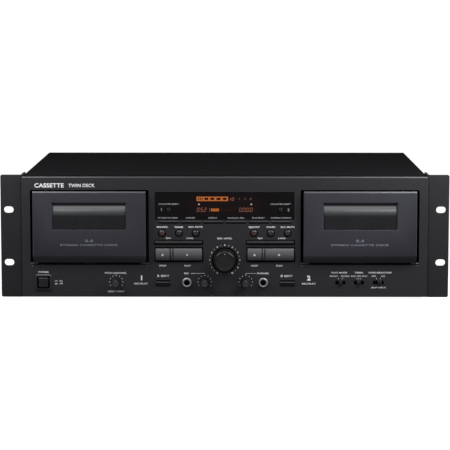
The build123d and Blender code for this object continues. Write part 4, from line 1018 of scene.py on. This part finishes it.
# level meter: two rows of dashes with posts between them
for i in range(17):
    x = -30.2 + 2.0 * i
    for z0 in (42.55, 38.95):
        add_prism(bm, [(x, z0 + DZ), (x + 1.86, z0 + DZ), (x + 1.86, z0 + 1.25 + DZ), (x, z0 + 1.25 + DZ)], YD - 0.06, YD - 0.005, 0)
for x0, x1 in ((-30.2, -28.7), (-27.8, -26.9), (-25.7, -24.8), (-23.7, -21.7), (-17.6, -15.4), (-11.2, -8.8), (-4.4, -2.1), (2.0, 3.7)):
    add_prism(bm, [(x0, 39.6 + DZ), (x1, 39.6 + DZ), (x1, 43.2 + DZ), (x0, 43.2 + DZ)], YD - 0.055, YD - 0.005, 0)
add_digit(bm, "0", 7.6, 39.6 + DZ, 1.9, 3.0, 1)
add_prism(bm, [(6.0, 39.8 + DZ), (6.5, 39.8 + DZ), (6.8, 42.4 + DZ), (6.3, 42.4 + DZ)], YD - 0.06, YD - 0.005, 1)
for x, w in ((15.6, 0.5), (21.9, 0.5), (27.2, 0.5), (28.4, 0.5)):
    add_prism(bm, [(x - w / 2, 40.2 + DZ), (x + w / 2, 40.2 + DZ), (x + w / 2, 42.4 + DZ), (x - w / 2, 42.4 + DZ)], YD - 0.06, YD - 0.005, 4)
# the small arrows
add_prism(bm, [(-28.9, 35.0 + DZ), (-26.5, 35.0 + DZ), (-27.7, 36.6 + DZ)], YD - 0.06, YD - 0.005, 3)
add_prism(bm, [(27.3, 35.0 + DZ), (29.7, 35.0 + DZ), (28.5, 36.6 + DZ)], YD - 0.06, YD - 0.005, 3)
# counters
for i, ch in enumerate("0521"):
    add_digit(bm, ch, -29.8 + 3.75 * i, 27.6 + DZ, 2.2, 4.0, 1)
for i, ch in enumerate("0000"):
    add_digit(bm, ch, 15.6 + 3.85 * i, 27.6 + DZ, 2.2, 4.0, 1)
for i in range(4):
    x = -14.6 + 2.2 * i
    add_prism(bm, [(x, 27.9 + DZ), (x + 1.75, 27.9 + DZ), (x + 1.75, 31.0 + DZ), (x, 31.0 + DZ)], YD - 0.06, YD - 0.005, 0)
for i in range(5):
    x = -3.6 + 3.4 * i
    add_prism(bm, [(x, 28.4 + DZ), (x + 0.6, 28.4 + DZ), (x + 0.9, 30.6 + DZ), (x + 0.3, 30.6 + DZ)], YD - 0.06, YD - 0.005, 2)
finish_mesh("display_marks", bm, ["orange", "amber", "red", "pale", "rose"], "casing")

# ================================================================ in the door windows
for side, cx in DECK.items():
    bm = bmesh.new()
    # the sheet behind each pane carries painted light
    add_box(bm, cx - 11.0, cx + 11.6, -12.9, -12.3, 11.0, 22.6, bevel=0.2)
    finish_mesh(f"sight_sheet_{side}", bm, ["sight"], f"door_{side}", smooth=True)

# ================================================================ stage, light and camera
def stage_sheet():
    pts = []
    for y in (-9.0, -4.0, -2.0, -1.0, -0.4, 0.0, 0.6, 1.4, 2.2):
        pts.append((y, -0.0717))
    r = 1.6
    for i in range(1, 17):
        a = math.pi / 2 * i / 16
        pts.append((2.2 + r * math.sin(a), -0.0717 + r - r * math.cos(a)))
    pts.append((2.2 + r, 6.0))
    b = bmesh.new()
    xs = [-7.0, -4.0, -2.0, -1.0, -0.3, 0.3, 1.0, 2.0, 4.0, 7.0]
    grid = [[b.verts.new((x, y, z)) for x in xs] for y, z in pts]
    for i in range(len(pts) - 1):
        for j in range(len(xs) - 1):
            b.faces.new([grid[i][j], grid[i][j + 1], grid[i + 1][j + 1], grid[i + 1][j]])
    me = bpy.data.meshes.new("stage_sheet")
    b.to_mesh(me)
    b.free()
    for p in me.polygons:
        p.use_smooth = True
    o = bpy.data.objects.new("stage_sheet", me)
    SC.collection.objects.link(o)
    t = Tree("pale_paper")
    tone = t.math("MULTIPLY", t.span(t.noise(3.0, 3.0), 0.3, 0.7, 0.995, 1.005), t.span(t.noise(900.0, 2.0), 0.3, 0.7, 0.99, 1.01))
    lp = t.new("ShaderNodeLightPath")
    diff = t.new("ShaderNodeBsdfDiffuse", {"Color": t.scale((0.86, 0.86, 0.87), tone), "Roughness": 0.6})
    seen = t.new("ShaderNodeEmission", {"Color": (1.0, 1.0, 1.0, 1.0), "Strength": t.math("MULTIPLY", tone, 0.86)})
    dim = t.new("ShaderNodeEmission", {"Color": (0.92, 0.94, 1.0, 1.0), "Strength": 0.21})
    both = t.new("ShaderNodeAddShader")
    half = t.new("ShaderNodeMixShader", {0: 0.82})
    t.nt.links.new(diff.outputs[0], half.inputs[1])
    t.nt.links.new(seen.outputs[0], half.inputs[2])
    t.nt.links.new(half.outputs[0], both.inputs[0])
    extra = t.new("ShaderNodeEmission", {"Color": (1.0, 1.0, 1.0, 1.0), "Strength": 0.27})
    t.nt.links.new(extra.outputs[0], both.inputs[1])
    pick = t.new("ShaderNodeMixShader")
    t.nt.links.new(lp.outputs["Is Camera Ray"], pick.inputs[0])
    t.nt.links.new(dim.outputs[0], pick.inputs[1])
    t.nt.links.new(both.outputs[0], pick.inputs[2])
    t.nt.links.new(pick.outputs[0], t.out.inputs["Surface"])
    me.materials.append(t.mat)
    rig.stage(o)
    return o


stage_sheet()


def area(name, loc, target, sx, sy, power, diffuse=True, color=(1, 1, 1)):
    d = bpy.data.lights.new(name, "AREA")
    d.shape = "RECTANGLE"
    d.size = sx
    d.size_y = sy
    d.energy = power
    d.color = color
    o = bpy.data.objects.new(name, d)
    SC.collection.objects.link(o)
    o.location = loc
    o.rotation_euler = (Vector(target) - Vector(loc)).to_track_quat("-Z", "Y").to_euler()
    o.visible_camera = False
    o.visible_diffuse = diffuse
    return o


LIGHTS = {
    # name: (place, aimed at, width, depth, power, lights matt surfaces too)
    "strip_left": ((-0.36, -0.13, 0.30), (-0.36, -0.02, 0.0), 0.36, 0.10, 3.1, True),
    "strip_mid": ((0.0, -0.13, 0.30), (0.0, -0.02, 0.0), 0.36, 0.10, 0.35, True),
    "strip_right": ((0.36, -0.13, 0.30), (0.36, -0.02, 0.0), 0.36, 0.10, 4.5, True),
    "front_fill": ((0.35, -3.2, 0.9), (0.0, 0.0, 0.0), 2.4, 1.6, 12.0, True),
    "top_card": ((0.0, -0.12, 1.05), (0.0, -0.02, 0.0), 2.4, 1.4, 12.0, False),
}
for lamp, (loc, aim, sx, sy, power, matt) in LIGHTS.items():
    area(lamp, loc, aim, sx, sy, power, matt)

world = bpy.data.worlds.new("soft_room")
SC.world = world
world.use_nodes = True
nt = world.node_tree
nt.nodes.clear()
wo = nt.nodes.new("ShaderNodeOutputWorld")
bg = nt.nodes.new("ShaderNodeBackground")
bg.inputs["Color"].default_value = (0.9, 0.93, 1.0, 1.0)
bg.inputs["Strength"].default_value = 0.135
nt.links.new(bg.outputs[0], wo.inputs[0])

cam = bpy.data.cameras.new("camera")
cam.lens = 157.7
cam.sensor_width = 36.0
cam.clip_end = 60.0
co = bpy.data.objects.new("camera", cam)
SC.collection.objects.link(co)
co.location = (0.0137, -2.1099, 0.2672)
co.rotation_euler = (math.radians(90.0 - 6.902), 0.0, math.radians(0.364))
SC.camera = co
SC.view_settings.view_transform = "Standard"
SC.view_settings.look = "None"
SC.view_settings.exposure = 0.0
SC.view_settings.gamma = 1.0

# ================================================================ sizes, and the end
bpy.context.view_layer.update()
json.dump({"cad_box": CAD_BOX, "visual_box": [[float(c) for c in corner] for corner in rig.bounds()]}, open("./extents.json", "w"))
